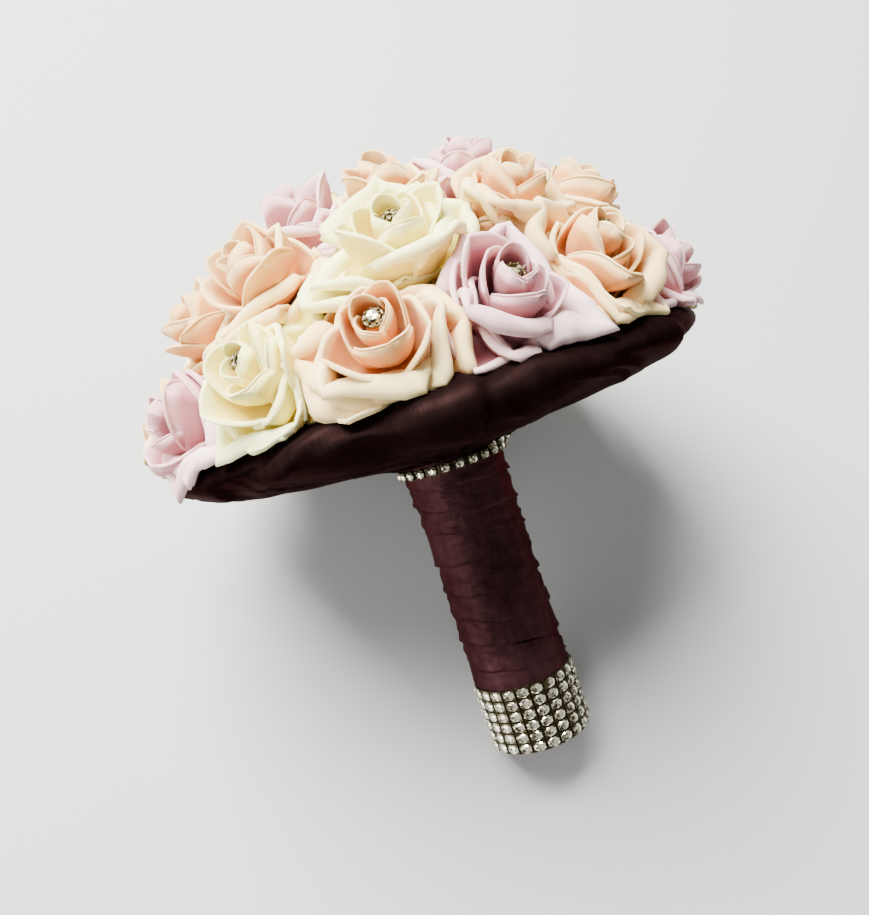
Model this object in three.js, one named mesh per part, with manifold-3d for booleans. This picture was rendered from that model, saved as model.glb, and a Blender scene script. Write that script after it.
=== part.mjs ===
// Bridal bouquet of foam roses, lying on its side on a flat surface.
// Millimetres, +Z up. The surface is z = 0, the handle's end points to -Y and the blooms to +Y.
//
// The posy is worked out upright, in its own frame: its axis is +Z, z = 0 is the neck, where the handle
// meets the satin collar, and azimuth 0 is the side that faces up once the posy has been laid down.

import * as THREE from "three";
import { mergeVertices } from "three/addons/utils/BufferGeometryUtils.js";
import Module from "manifold-3d";

const wasm = await Module();
wasm.setup();

const DEGREE = Math.PI / 180;

// Driving dimensions
const LIE_ANGLE = 30.6; // the posy's axis above the surface, in degrees
const MIDDLE = [-2.13, 2.42]; // the lying posy's middle in X and Y, from its neck
const SEAT_GAP = 0.3; // between pieces that touch
const BLOOM_GAP = 0.4; // between one bloom's petals and the next bloom's

const STEM_R = 2.4;
const TRUNK_R = 17.6; // the bundle of stems in the handle
const TRUNK_TOP = 8;
const HANDLE_LENGTH = 128;
const STEM_FOOT = -HANDLE_LENGTH + 3;
const NECK_R = 21.4; // the ribbon binding at its top, waist and foot
const WAIST_R = 20.2;
const FOOT_R = 20.6;
const RIBBON_TURN = 11.6;
const RIBBON_LAP = 0.9;

const STONE_PITCH = 4.8;
const STONE_COLUMNS = 28;
const STONE_ROWS = 6;
const STONE_PROUD = 1.5;
const MESH_R = 21.3; // the stone mesh's backing
const TRIM_R = 22.2; // the single row of stones at the neck

const COLLAR_RIM_R = 111;
const COLLAR_THICK = 1.4;
const COLLAR_FOLDS = 9;
const COLLAR_FOLD_DEPTH = 1.3;

// The dome that the crystals lie on: its height on the axis, and how far it has dropped at a radius.
const DOME = { top: 119, drop: 60, radius: 108, power: 2.8 };
// Each bloom's azimuth in degrees, its crystal's distance from the posy's axis, its colour, and, where it
// presses its petals over its neighbours', by how many millimetres.
const BLOOMS = [
  [-14, 108, "peach", 4], [11, 108, "lilac", 3], [37.5, 104, "peach", 3], [65, 112, "lilac"],
  [98, 109, "ivory"], [131, 109, "peach"], [163.5, 112, "lilac"], [196, 112, "peach"], [228.5, 109, "lilac"],
  [261, 113, "peach"], [293, 112, "lilac"], [319.5, 107, "ivory", -3],
  [-5, 84, "ivory", 5], [34, 78, "peach", 1], [61, 86, "peach"], [98, 80, "lilac"], [134, 80, "peach"],
  [171, 80, "ivory"], [208, 80, "peach"], [244, 80, "ivory"], [281, 86, "peach"], [309, 76, "peach", 2],
  [-1, 52, "peach"], [49, 48, "lilac"], [132, 30, "peach"], [222, 30, "ivory"], [303, 42, "lilac"],
];

// One bloom, in its own frame: z = 0 is its cut base on the stem, and +Z is the way it faces.
const BLOOM = {
  columns: 15, // facets round it
  baseR: 5,
  calyx: [9, 6], // radius and height
  floorR: 5.2, // the cup for the crystal
  floorZ: 25.5,
  reach: 31, // the outer petals' tips
  widest: 34.5, // how far they open where no neighbour crowds them
  middleZ: 17, // where neighbouring blooms share the space between them
  lift: 0.45, // how far a crowded petal rises for each millimetre that it is pushed in
};
const PETAL_THICK = 1.4;
// Rings of petals from the outside in: how many; the lip's radius and height; the radius and height of the
// pocket inside it; how far one side tucks in behind the next petal; how far the lip falls away at the
// petal's sides; how far its tip stands out; and the turn of the ring in degrees.
const PETAL_RINGS = [
  {
    count: 5, lip: [29.5, 15], belly: [19.5, 9.8], pocket: [15, 10.5],
    tuck: 1.6, fall: 3.5, tip: 2.4, turn: 0,
  },
  { count: 5, lip: [21.5, 24.5], pocket: [12.5, 17], tuck: 1.5, fall: 4, tip: 1.2, turn: 40 },
  { count: 3, lip: [15.8, 29.5], pocket: [9.6, 23], tuck: 1.5, fall: 6, tip: 0.6, turn: 10 },
  { count: 3, lip: [9.6, 32], pocket: [5.2, 25.5], tuck: 1, fall: 3, tip: 0, turn: 70 },
];

const CRYSTAL = { girdleR: 4.1, tableR: 2.5, girdleZ: 1.2, height: 3, sides: 6 };

const COLOURS = {
  peach: { color: 0xf3cdb0, roughness: 0.8 },
  ivory: { color: 0xf8f1d8, roughness: 0.8 },
  lilac: { color: 0xe0bcc8, roughness: 0.8 },
  satin: { color: 0x35161c, roughness: 0.42 },
  stem: { color: 0x5f7a4a, roughness: 0.7 },
  silver: { color: 0xcfc9a8, roughness: 0.25, metalness: 0.85 },
};

// Solids

// A closed manifold from shared vertices and triangles that face outwards.
function solid(vertices, triangles) {
  return new wasm.Manifold(
    new wasm.Mesh({
      numProp: 3,
      vertProperties: new Float32Array(vertices.flat()),
      triVerts: new Uint32Array(triangles.flat()),
    }),
  );
}

// A closed manifold from a three.js geometry.
function solidOf(geometry) {
  const bare = geometry.clone();
  bare.deleteAttribute("normal");
  bare.deleteAttribute("uv");
  const merged = mergeVertices(bare, 1e-4);
  return new wasm.Manifold(
    new wasm.Mesh({
      numProp: 3,
      vertProperties: new Float32Array(merged.attributes.position.array),
      triVerts: new Uint32Array(merged.index.array),
    }),
  );
}

function geometryOf(manifold) {
  const mesh = manifold.getMesh();
  const position = new Float32Array(mesh.numVert * 3);
  for (let i = 0; i < mesh.numVert; i++) {
    position.set(mesh.vertProperties.subarray(i * mesh.numProp, i * mesh.numProp + 3), i * 3);
  }
  const geometry = new THREE.BufferGeometry();
  geometry.setAttribute("position", new THREE.BufferAttribute(position, 3));
  geometry.setIndex(new THREE.BufferAttribute(new Uint32Array(mesh.triVerts), 1));
  geometry.computeVertexNormals();
  return geometry;
}

function finish(name) {
  return new THREE.MeshStandardMaterial({ metalness: 0, ...COLOURS[name] });
}

// The largest body of a solid: small hollows sealed between crowded petals are filled, crumbs dropped.
function wholeBody(manifold) {
  return manifold.decompose().reduce((a, b) => (b.volume() > a.volume() ? b : a));
}

function pieceOf(name, manifold, look) {
  const mesh = new THREE.Mesh(geometryOf(manifold), finish(look));
  mesh.name = name;
  return mesh;
}

// A ring-shaped or solid body from rings of points. Rows run round the section: the last row joins the first
// (a closed section), or both end on the axis as rows of one point. Each quad is split on its short diagonal.
function ringBody(rows, closed) {
  const vertices = rows.flat();
  const starts = rows.map((_, k) => rows.slice(0, k).flat().length);
  const squared = (a, b) =>
    vertices[a].reduce((sum, value, axis) => sum + (value - vertices[b][axis]) ** 2, 0);
  const triangles = [];
  const pairs = closed ? rows.length : rows.length - 1;
  for (let k = 0; k < pairs; k++) {
    const next = (k + 1) % rows.length;
    const around = Math.max(rows[k].length, rows[next].length);
    for (let i = 0; i < around; i++) {
      const [a0, a1] = [i, (i + 1) % around].map((j) => starts[k] + (rows[k].length === 1 ? 0 : j));
      const [b0, b1] = [i, (i + 1) % around].map((j) => starts[next] + (rows[next].length === 1 ? 0 : j));
      if (a0 === a1) triangles.push([a0, b1, b0]);
      else if (b0 === b1) triangles.push([a0, a1, b0]);
      else if (squared(a0, b1) <= squared(a1, b0) + 1e-6) triangles.push([a0, a1, b1], [a0, b1, b0]);
      else triangles.push([a0, a1, b0], [a1, b1, b0]);
    }
  }
  return solid(vertices, triangles);
}

function circleRow(radius, z, count) {
  if (radius === 0) return [[0, 0, z]];
  return Array.from({ length: count }, (_, i) => {
    const angle = (i / count) * 2 * Math.PI;
    return [radius * Math.cos(angle), radius * Math.sin(angle), z];
  });
}

// The posy's layout

function outward(azimuth) {
  return new THREE.Vector3(Math.sin(azimuth * DEGREE), -Math.cos(azimuth * DEGREE), 0);
}

// Each bloom's frame in the posy: origin at its base, +Z the way it faces, square to the dome.
function layBlooms() {
  const spin = spinner();
  return BLOOMS.map(([azimuth, radius, colour, press = 0], index) => {
    const share = radius / DOME.radius;
    const lean = Math.atan((DOME.drop * DOME.power * share ** (DOME.power - 1)) / DOME.radius);
    const out = outward(azimuth);
    const facing = out.clone().multiplyScalar(Math.sin(lean)).setZ(Math.cos(lean));
    const side = new THREE.Vector3(Math.cos(azimuth * DEGREE), Math.sin(azimuth * DEGREE), 0);
    const base = out.multiplyScalar(radius).setZ(DOME.top - DOME.drop * share ** DOME.power);
    base.addScaledVector(facing, -(BLOOM.floorZ + CRYSTAL.height));
    const frame = new THREE.Matrix4().makeBasis(side, facing.clone().cross(side), facing).setPosition(base);
    const middle = base.clone().addScaledVector(facing, BLOOM.middleZ);
    return { number: index + 1, azimuth, colour, press, facing, base, frame, middle, turn: spin() * 72 };
  });
}

// Numbers from 0 to 1 that are the same in each run.
function spinner() {
  let state = 20;
  return () => {
    state = (state * 1103515245 + 12345) % 2147483648;
    return state / 2147483648;
  };
}

// The surface that the posy lies on

const SINK = 0.7; // how far the lowest petals would reach below the surface before they are cut flat there
const surfaceUp = new THREE.Vector3(0, 0, 1).applyEuler(new THREE.Euler((90 - LIE_ANGLE) * DEGREE, 0, 0));
// Height of the neck's centre above the surface: the lowest stones of the mesh at the handle's foot touch it.
const NECK_RISE =
  (HANDLE_LENGTH - STONE_PITCH / 2 - 0.2) * Math.sin(LIE_ANGLE * DEGREE) +
  (MESH_R + STONE_PROUD - 0.4) * Math.cos(LIE_ANGLE * DEGREE);

function surfaceDepth(point) {
  return point.dot(surfaceUp) + NECK_RISE;
}

// Cuts off what would lie below the surface, which leaves small flat spots to rest on.
function cutFlat(manifold, frame) {
  const slab = new THREE.BoxGeometry(600, 600, 40).translate(0, 0, -20);
  const toPosy = new THREE.Matrix4().makeRotationX((90 - LIE_ANGLE) * DEGREE);
  const lift = new THREE.Matrix4().makeTranslation(0, 0, -NECK_RISE);
  const place = frame.clone().invert().multiply(toPosy).multiply(lift);
  return manifold.subtract(solidOf(slab.applyMatrix4(place)));
}

// The satin collar

// The collar's outside in section, from the hem at the neck, out under the blooms, and round to the edge
// that is turned in behind their lower petals: [radius, height].
const COLLAR_SECTION = [
  [TRUNK_R + 0.6, SEAT_GAP], [NECK_R, SEAT_GAP], [33, 3], [62, 5.5], [84, 9.3], [100, 15],
  [COLLAR_RIM_R, 21.5],
  [108.5, 26], [94, 29.5],
];
const COLLAR_WIDEST = 6;
// Lowest place for a petal at a radius: over the turned-in edge, and down past the rim outside it.
const PETAL_FLOOR = [[0, 31.4], [94, 31.4], [108.5, 28], [111.8, 25], [130, 3]];

function heightAt(section, radius) {
  const k = Math.max(1, section.findIndex(([r]) => radius <= r));
  const [r0, z0] = section[k - 1];
  const [r1, z1] = section[k];
  return z0 + ((z1 - z0) * (radius - r0)) / (r1 - r0);
}

// The collar's reach in a direction, as a share of its full size: it is pressed in where it would meet the
// surface below.
function collarReach(direction) {
  const rim = COLLAR_SECTION.slice(COLLAR_WIDEST - 1, COLLAR_WIDEST + 2);
  let reach = 1;
  const height = ([r, z]) => surfaceDepth(direction.clone().multiplyScalar(r * reach).setZ(z));
  while (Math.min(...rim.map(height)) < COLLAR_FOLD_DEPTH + SEAT_GAP) reach -= 0.0025;
  return reach;
}

function collar() {
  const around = COLLAR_FOLDS * 3;
  const inside = COLLAR_SECTION.map(([radius, height], k) => {
    const [r0, z0] = COLLAR_SECTION[Math.max(0, k - 1)];
    const [r1, z1] = COLLAR_SECTION[Math.min(COLLAR_SECTION.length - 1, k + 1)];
    const length = Math.hypot(r1 - r0, z1 - z0);
    return [radius - (COLLAR_THICK * (z1 - z0)) / length, height + (COLLAR_THICK * (r1 - r0)) / length];
  });
  const rowOf = ([radius, height]) =>
    Array.from({ length: around }, (_, i) => {
      const angle = (i / around) * 2 * Math.PI;
      const direction = new THREE.Vector3(Math.cos(angle), Math.sin(angle), 0);
      const share = Math.min(1, Math.max(0, (radius - NECK_R) / 30));
      const shortened = radius * (1 + (collarReach(direction) - 1) * share);
      const fold = COLLAR_FOLD_DEPTH * share * Math.cos(COLLAR_FOLDS * angle);
      return direction.multiplyScalar(shortened).setZ(height + fold).toArray();
    });
  const over = inside.filter((_, k) => k !== 1);
  return ringBody([...COLLAR_SECTION, ...over.reverse()].map(rowOf), true);
}

// One bloom

// Brings a point of a petal inside the bloom's own share of the dome. Distances from the bloom's axis shrink
// in step with how near the planes between it and its neighbours are, so petals crowd together in their order
// and rise as they are pushed in.
function easedInto(point, walls) {
  const reach = Math.hypot(point.x, point.y);
  if (reach < 1e-6) return point;
  let most = BLOOM.widest;
  for (const { normal, far } of walls) {
    const along = (point.x * normal.x + point.y * normal.y) / reach;
    if (along > 0.05) most = Math.min(most, (far - (point.z - BLOOM.middleZ) * normal.z) / along);
  }
  const scale = 1 + (Math.max(most, 4) / BLOOM.reach - 1) * Math.min(1, reach / BLOOM.reach);
  const lift = BLOOM.lift * reach * Math.max(0, 1 - scale);
  return new THREE.Vector3(point.x * scale, point.y * scale, point.z + lift);
}

// A bloom is one folded sheet of foam round a bud. Its section climbs from the stem, goes out and back for
// each ring of petals, and ends in the crystal's cup; round the bloom, each lip steps from petal to petal.
function buildBloom(bloom, blooms) {
  const toBloom = bloom.frame.clone().invert();
  const walls = blooms
    .filter((other) => other !== bloom && other.middle.distanceTo(bloom.middle) < 90)
    .map((other) => {
      const away = other.middle.clone().applyMatrix4(toBloom).sub(new THREE.Vector3(0, 0, BLOOM.middleZ));
      const distance = away.length();
      const far = (distance - BLOOM_GAP + bloom.press - other.press) / 2;
      return { normal: away.divideScalar(distance), far };
    });
  // Keeps a point clear of the neighbours, the collar below and the surface that the posy lies on.
  const settle = (point, margin) => {
    const inPosy = easedInto(point, walls).applyMatrix4(bloom.frame);
    const lowest = heightAt(PETAL_FLOOR, Math.hypot(inPosy.x, inPosy.y)) + COLLAR_FOLD_DEPTH + BLOOM_GAP;
    inPosy.z = Math.max(inPosy.z, lowest + margin);
    const down = surfaceDepth(inPosy) + SINK - margin;
    if (down < 0) inPosy.addScaledVector(surfaceUp, -down);
    return inPosy.applyMatrix4(toBloom).toArray();
  };
  const row = (ring, [radius, height], share, margin) =>
    Array.from({ length: BLOOM.columns }, (_, i) => {
      const angle = (i / BLOOM.columns) * 2 * Math.PI + bloom.turn * DEGREE;
      const turns = (angle / (2 * Math.PI)) * ring.count - ring.turn / 120 + 8;
      const u = (turns - Math.floor(turns)) * 2 - 1;
      const r = radius + share * (ring.tuck * u - ring.tip * Math.abs(u));
      const z = height - share * ring.fall * u * u;
      return settle(new THREE.Vector3(r * Math.cos(angle), r * Math.sin(angle), z), margin);
    });
  const [outermost] = PETAL_RINGS;
  const rows = [[[0, 0, 0]], row(outermost, [BLOOM.baseR, 0], 0, 0), row(outermost, BLOOM.calyx, 0, 0)];
  for (const ring of PETAL_RINGS) {
    const [radius, height] = ring.lip;
    if (ring.belly) rows.push(row(ring, ring.belly, 0.4, 0));
    rows.push(row(ring, [radius, height - PETAL_THICK / 2], 1, 0));
    rows.push(row(ring, [radius - PETAL_THICK, height + PETAL_THICK / 2], 1, PETAL_THICK));
    if (ring.belly) {
      rows.push(row(ring, [ring.belly[0], ring.belly[1] + PETAL_THICK * 1.3], 0.4, PETAL_THICK));
    }
    rows.push(row(ring, ring.pocket, 0, PETAL_THICK * 1.5));
  }
  rows.push([[0, 0, BLOOM.floorZ]]);
  return ringBody(rows, false);
}

// Stems, ribbon and stones

// A stem's tube along a curve, as an extruded section.
function tube(curve, radius, sides, steps) {
  const section = new THREE.Shape(
    Array.from({ length: sides }, (_, i) => {
      const angle = (i / sides) * 2 * Math.PI;
      return new THREE.Vector2(radius * Math.cos(angle), radius * Math.sin(angle));
    }),
  );
  return solidOf(new THREE.ExtrudeGeometry(section, { steps, extrudePath: curve, bevelEnabled: false }));
}

// All stems as one body: bound together in the handle, and fanned out above it to each bloom's base.
function stems(blooms) {
  const outline = 18;
  const row = (z) =>
    Array.from({ length: outline }, (_, i) => {
      const angle = (i / outline) * 2 * Math.PI;
      const radius = TRUNK_R - (i % 2) * 1.6;
      return [radius * Math.cos(angle), radius * Math.sin(angle), z];
    });
  let made = ringBody([[[0, 0, STEM_FOOT]], row(STEM_FOOT), row(TRUNK_TOP), [[0, 0, TRUNK_TOP]]], false);
  for (const bloom of blooms) {
    const out = outward(bloom.azimuth);
    const fan = Math.hypot(bloom.base.x, bloom.base.y);
    const root = out.clone().multiplyScalar(2 + fan * 0.125).setZ(4);
    const end = bloom.base.clone().addScaledVector(bloom.facing, -SEAT_GAP);
    const bend = bloom.base.clone().addScaledVector(bloom.facing, -fan * 0.5);
    made = made.add(tube(new THREE.QuadraticBezierCurve3(root, bend, end), STEM_R, 4, 2));
  }
  return made;
}

// The handle's radius at a height: wide at the neck, slim at the waist, wider again at the foot.
function handleRadius(z) {
  const t = Math.min(1, Math.max(0, -z / (HANDLE_LENGTH - 30)));
  const waist = 0.55;
  const end = t < waist ? NECK_R : FOOT_R;
  const share = t < waist ? 1 - t / waist : (t - waist) / (1 - waist);
  return WAIST_R + (end - WAIST_R) * share * share;
}

// Satin ribbon wound from the neck down, each turn lapped over the one below it, and closed over the foot.
function ribbon() {
  const sides = 18;
  const meshTop = -HANDLE_LENGTH + STONE_ROWS * STONE_PITCH + 1;
  const turns = Math.floor(-meshTop / RIBBON_TURN);
  const wobble = spinner();
  const rows = [[[0, 0, -HANDLE_LENGTH]], circleRow(FOOT_R - 1.6, -HANDLE_LENGTH, sides)];
  rows.push(circleRow(FOOT_R, -HANDLE_LENGTH + 0.6, sides), circleRow(FOOT_R, meshTop, sides));
  for (let k = turns - 1; k > 0; k--) {
    const z = (meshTop * k) / turns;
    const [lean, heading] = [1.2 + 1.3 * wobble(), wobble() * 2 * Math.PI];
    const slant = ([x, y, h]) => [x, y, h + lean * Math.cos(Math.atan2(y, x) - heading)];
    const lap = (radius, height) => circleRow(radius, height, sides).map(slant);
    rows.push(lap(handleRadius(z) - RIBBON_LAP / 2, z - 0.6), lap(handleRadius(z) + RIBBON_LAP / 2, z + 0.9));
  }
  const bore = (TRUNK_R + SEAT_GAP) / Math.cos(Math.PI / sides);
  const floor = STEM_FOOT - SEAT_GAP;
  rows.push(circleRow(NECK_R - 0.5, 0, sides), circleRow(bore, 0, sides));
  rows.push(circleRow(bore, floor, sides), [[0, 0, floor]]);
  return ringBody(rows, false);
}

// A band of square stones set edge to edge: each stone is a pyramid between the grooves of the backing.
function stoneBand(radius, overR, top, rowsOfStones) {
  const innerR = (overR + SEAT_GAP) / Math.cos(Math.PI / STONE_COLUMNS);
  const vertices = [];
  const triangles = [];
  const at = (r, angle, z) => vertices.push([r * Math.cos(angle), r * Math.sin(angle), z]) - 1;
  const step = (2 * Math.PI) / STONE_COLUMNS;
  const ring = (r, z, shift) => Array.from({ length: STONE_COLUMNS }, (_, i) => at(r, (i + shift) * step, z));
  const grooves = Array.from({ length: rowsOfStones + 1 }, (_, k) => ring(radius, top - k * STONE_PITCH, 0));
  const tops = Array.from({ length: rowsOfStones }, (_, k) =>
    ring(radius + STONE_PROUD, top - (k + 0.5) * STONE_PITCH, 0.5),
  );
  const inside = [ring(innerR, top, 0), ring(innerR, top - rowsOfStones * STONE_PITCH, 0)];
  for (let i = 0; i < STONE_COLUMNS; i++) {
    const j = (i + 1) % STONE_COLUMNS;
    for (let k = 0; k < rowsOfStones; k++) {
      const corners = [grooves[k][i], grooves[k + 1][i], grooves[k + 1][j], grooves[k][j]];
      corners.forEach((corner, side) => triangles.push([corner, corners[(side + 1) % 4], tops[k][i]]));
    }
    const quad = (a, b, c, d) => triangles.push([a, b, c], [a, c, d]);
    quad(inside[0][i], grooves[0][i], grooves[0][j], inside[0][j]);
    quad(inside[1][j], grooves[rowsOfStones][j], grooves[rowsOfStones][i], inside[1][i]);
    quad(inside[1][i], inside[0][i], inside[0][j], inside[1][j]);
  }
  return solid(vertices, triangles);
}

function crystal() {
  const c = CRYSTAL;
  const rows = [
    circleRow(0, 0, c.sides),
    circleRow(c.girdleR, c.girdleZ, c.sides),
    circleRow(c.tableR, c.height, c.sides),
    circleRow(0, c.height, c.sides),
  ];
  return ringBody(rows, false);
}

// Assembly

const posy = new THREE.Group();
posy.rotation.x = -(90 - LIE_ANGLE) * DEGREE;
posy.position.set(-MIDDLE[0], -MIDDLE[1], NECK_RISE);

const blooms = layBlooms();
const cupFloor = new THREE.Matrix4().makeTranslation(0, 0, BLOOM.floorZ + SEAT_GAP);
for (const bloom of blooms) {
  const body = wholeBody(cutFlat(buildBloom(bloom, blooms), bloom.frame));
  const rose = pieceOf(`rose_${bloom.number}`, body, bloom.colour);
  rose.applyMatrix4(bloom.frame);
  const pin = pieceOf(`crystal_${bloom.number}`, crystal(), "silver");
  pin.applyMatrix4(bloom.frame.clone().multiply(cupFloor));
  posy.add(rose, pin);
}

const neckRow = stoneBand(TRIM_R + 0.6, NECK_R, -0.4, 1);
const meshBand = stoneBand(MESH_R, FOOT_R, -HANDLE_LENGTH + STONE_ROWS * STONE_PITCH + 0.2, STONE_ROWS);
posy.add(pieceOf("stem_bundle", stems(blooms), "stem"));
posy.add(pieceOf("ribbon_binding", ribbon(), "satin"));
posy.add(pieceOf("satin_collar", collar(), "satin"));
posy.add(pieceOf("neck_stone_row", neckRow, "silver"));
posy.add(pieceOf("stone_mesh_band", wholeBody(cutFlat(meshBand, new THREE.Matrix4())), "silver"));

const bouquet = new THREE.Group();
bouquet.add(posy);

export default bouquet;
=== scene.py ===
"""Bridal posy of foam roses lying on its side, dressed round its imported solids.

Lengths are millimetres in the posy's own frame until Posy.place turns them into metres in the frame's
space. In that frame the axis is +Z towards the flowers, z = 0 is the neck where the handle meets the satin
collar, and azimuth 0 is the side that faces up once the posy lies down.
"""

import logging
import math
from dataclasses import dataclass, field
from enum import Enum
from typing import Any

import bpy
import numpy as np
from mathutils import Matrix


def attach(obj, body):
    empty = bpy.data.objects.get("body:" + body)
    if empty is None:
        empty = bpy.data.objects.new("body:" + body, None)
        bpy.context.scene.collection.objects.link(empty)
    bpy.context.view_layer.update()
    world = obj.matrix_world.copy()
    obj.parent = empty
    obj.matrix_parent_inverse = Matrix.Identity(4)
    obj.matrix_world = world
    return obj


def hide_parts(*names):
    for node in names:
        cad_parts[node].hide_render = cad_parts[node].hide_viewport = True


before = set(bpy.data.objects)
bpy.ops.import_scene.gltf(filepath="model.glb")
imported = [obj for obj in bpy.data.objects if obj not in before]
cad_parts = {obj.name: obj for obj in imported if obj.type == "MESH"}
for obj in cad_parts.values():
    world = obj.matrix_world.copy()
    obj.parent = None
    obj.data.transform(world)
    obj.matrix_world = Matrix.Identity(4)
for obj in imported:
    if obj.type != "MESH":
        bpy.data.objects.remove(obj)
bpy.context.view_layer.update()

log = logging.getLogger("posy")
Array = np.ndarray
Colour = tuple[float, float, float]
Profile = tuple[tuple[float, float], ...]


# Shader graphs


class Value:
    """A number in a shader graph; arithmetic on it adds Math nodes."""

    def __init__(self, graph: "Graph", socket: bpy.types.NodeSocket) -> None:
        """Wraps an output socket.

        Args:
            graph: the graph that the socket belongs to.
            socket: the output that carries the number.
        """
        self.graph = graph
        self.socket = socket

    def math(self, operation: str, *others: Any, clamp: bool = False) -> "Value":
        """Adds one Math node.

        Args:
            operation: the node's operation, such as MULTIPLY.
            others: the further operands, values or numbers.
            clamp: whether the result is kept from 0 to 1.

        Returns:
            The node's result.
        """
        inputs = dict(enumerate((self, *others)))
        node = self.graph.node("ShaderNodeMath", {"operation": operation, "use_clamp": clamp}, inputs)
        return Value(self.graph, node.outputs[0])

    def __add__(self, other: Any) -> "Value":
        """Sum."""
        return self.math("ADD", other)

    __radd__ = __add__

    def __mul__(self, other: Any) -> "Value":
        """Product."""
        return self.math("MULTIPLY", other)

    __rmul__ = __mul__

    def __sub__(self, other: Any) -> "Value":
        """Difference."""
        return self.math("SUBTRACT", other)

    def __rsub__(self, other: Any) -> "Value":
        """A number less this value."""
        return (self * -1.0) + other

    def __truediv__(self, other: Any) -> "Value":
        """Quotient."""
        return self.math("DIVIDE", other)

    def clamped(self) -> "Value":
        """The value kept from 0 to 1."""
        return self.math("ADD", 0.0, clamp=True)

    def ramp(self, low: float, high: float) -> "Value":
        """0 at low, 1 at high and straight between them.

        Args:
            low: where the ramp starts.
            high: where it ends.

        Returns:
            The ramped value.
        """
        return ((self - low) / (high - low)).clamped()


class Graph:
    """One material's nodes round a Principled shader."""

    def __init__(self, name: str) -> None:
        """Makes the material with its shader and output.

        Args:
            name: the material's name.
        """
        self.material = bpy.data.materials.new(name)
        self.material.use_nodes = True
        self.tree = self.material.node_tree
        self.tree.nodes.clear()
        self.shader = self.node("ShaderNodeBsdfPrincipled")
        self.node("ShaderNodeOutputMaterial", inputs={"Surface": self.shader.outputs[0]})

    def feed(self, target: bpy.types.NodeSocket, value: Any) -> None:
        """Links a socket to a value or an output, or sets it to a constant.

        Args:
            target: the input socket.
            value: what it gets.
        """
        source = value.socket if isinstance(value, Value) else value
        if isinstance(source, bpy.types.NodeSocket):
            self.tree.links.new(source, target)
        else:
            target.default_value = source

    def node(
        self, kind: str, settings: dict[str, Any] | None = None, inputs: dict[Any, Any] | None = None
    ) -> bpy.types.Node:
        """Adds a node.

        Args:
            kind: the node's type.
            settings: its properties, set first.
            inputs: what its sockets get, by name or number.

        Returns:
            The node.
        """
        made = self.tree.nodes.new(kind)
        for key, value in (settings or {}).items():
            setattr(made, key, value)
        for key, value in (inputs or {}).items():
            self.feed(made.inputs[key], value)
        return made

    def set(self, **sockets: Any) -> None:
        """Feeds the shader's sockets, by their names with _ for a space."""
        for key, value in sockets.items():
            self.feed(self.shader.inputs[key.replace("_", " ")], value)

    def attribute(self, name: str) -> Value:
        """A number kept on the mesh's points.

        Args:
            name: the attribute.

        Returns:
            Its value at the shaded point.
        """
        node = self.node("ShaderNodeAttribute", {"attribute_name": name, "attribute_type": "GEOMETRY"})
        return Value(self, node.outputs["Fac"])

    def noise(
        self, scale: float, detail: float, stretch: tuple[float, ...] = (1.0, 1.0, 1.0), uv: bool = False
    ) -> Value:
        """Noise on Object coordinates, or on the piece's UV map.

        Args:
            scale: how fine it is, per metre, or per unit of the UV map.
            detail: the octaves.
            stretch: scales of the coordinates.
            uv: whether it follows the UV map.

        Returns:
            The noise, from 0 to 1.
        """
        kind, output = ("ShaderNodeUVMap", "UV") if uv else ("ShaderNodeTexCoord", "Object")
        where = self.node(kind).outputs[output]
        where = self.node("ShaderNodeMapping", inputs={"Vector": where, "Scale": stretch}).outputs[0]
        made = self.node("ShaderNodeTexNoise", inputs={"Vector": where, "Scale": scale, "Detail": detail})
        return Value(self, made.outputs["Fac"])

    def mix(self, share: Any, low: Any, high: Any) -> bpy.types.NodeSocket:
        """Mixes two colours.

        Args:
            share: how much of the second.
            low: the first, as three numbers or a link.
            high: the second.

        Returns:
            The mixed colour's socket.
        """
        low, high = (end if isinstance(end, bpy.types.NodeSocket) else (*end, 1.0) for end in (low, high))
        inputs = {0: share, 6: low, 7: high}
        return self.node("ShaderNodeMix", {"data_type": "RGBA", "clamp_factor": True}, inputs).outputs[2]

    def bump(self, height: Value, distance: float, strength: float) -> bpy.types.NodeSocket:
        """Relief from a height.

        Args:
            height: from 0 to 1.
            distance: what 1 stands for, in metres.
            strength: how much of it shows.

        Returns:
            The Bump node's normal.
        """
        inputs = {"Height": height, "Distance": distance, "Strength": strength}
        return self.node("ShaderNodeBump", inputs=inputs).outputs[0]


def linear(red: int, green: int, blue: int) -> Colour:
    """A screen colour as linear light: each channel over 255, to the power 2.2."""
    return tuple((channel / 255) ** 2.2 for channel in (red, green, blue))


# Finishes


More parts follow.
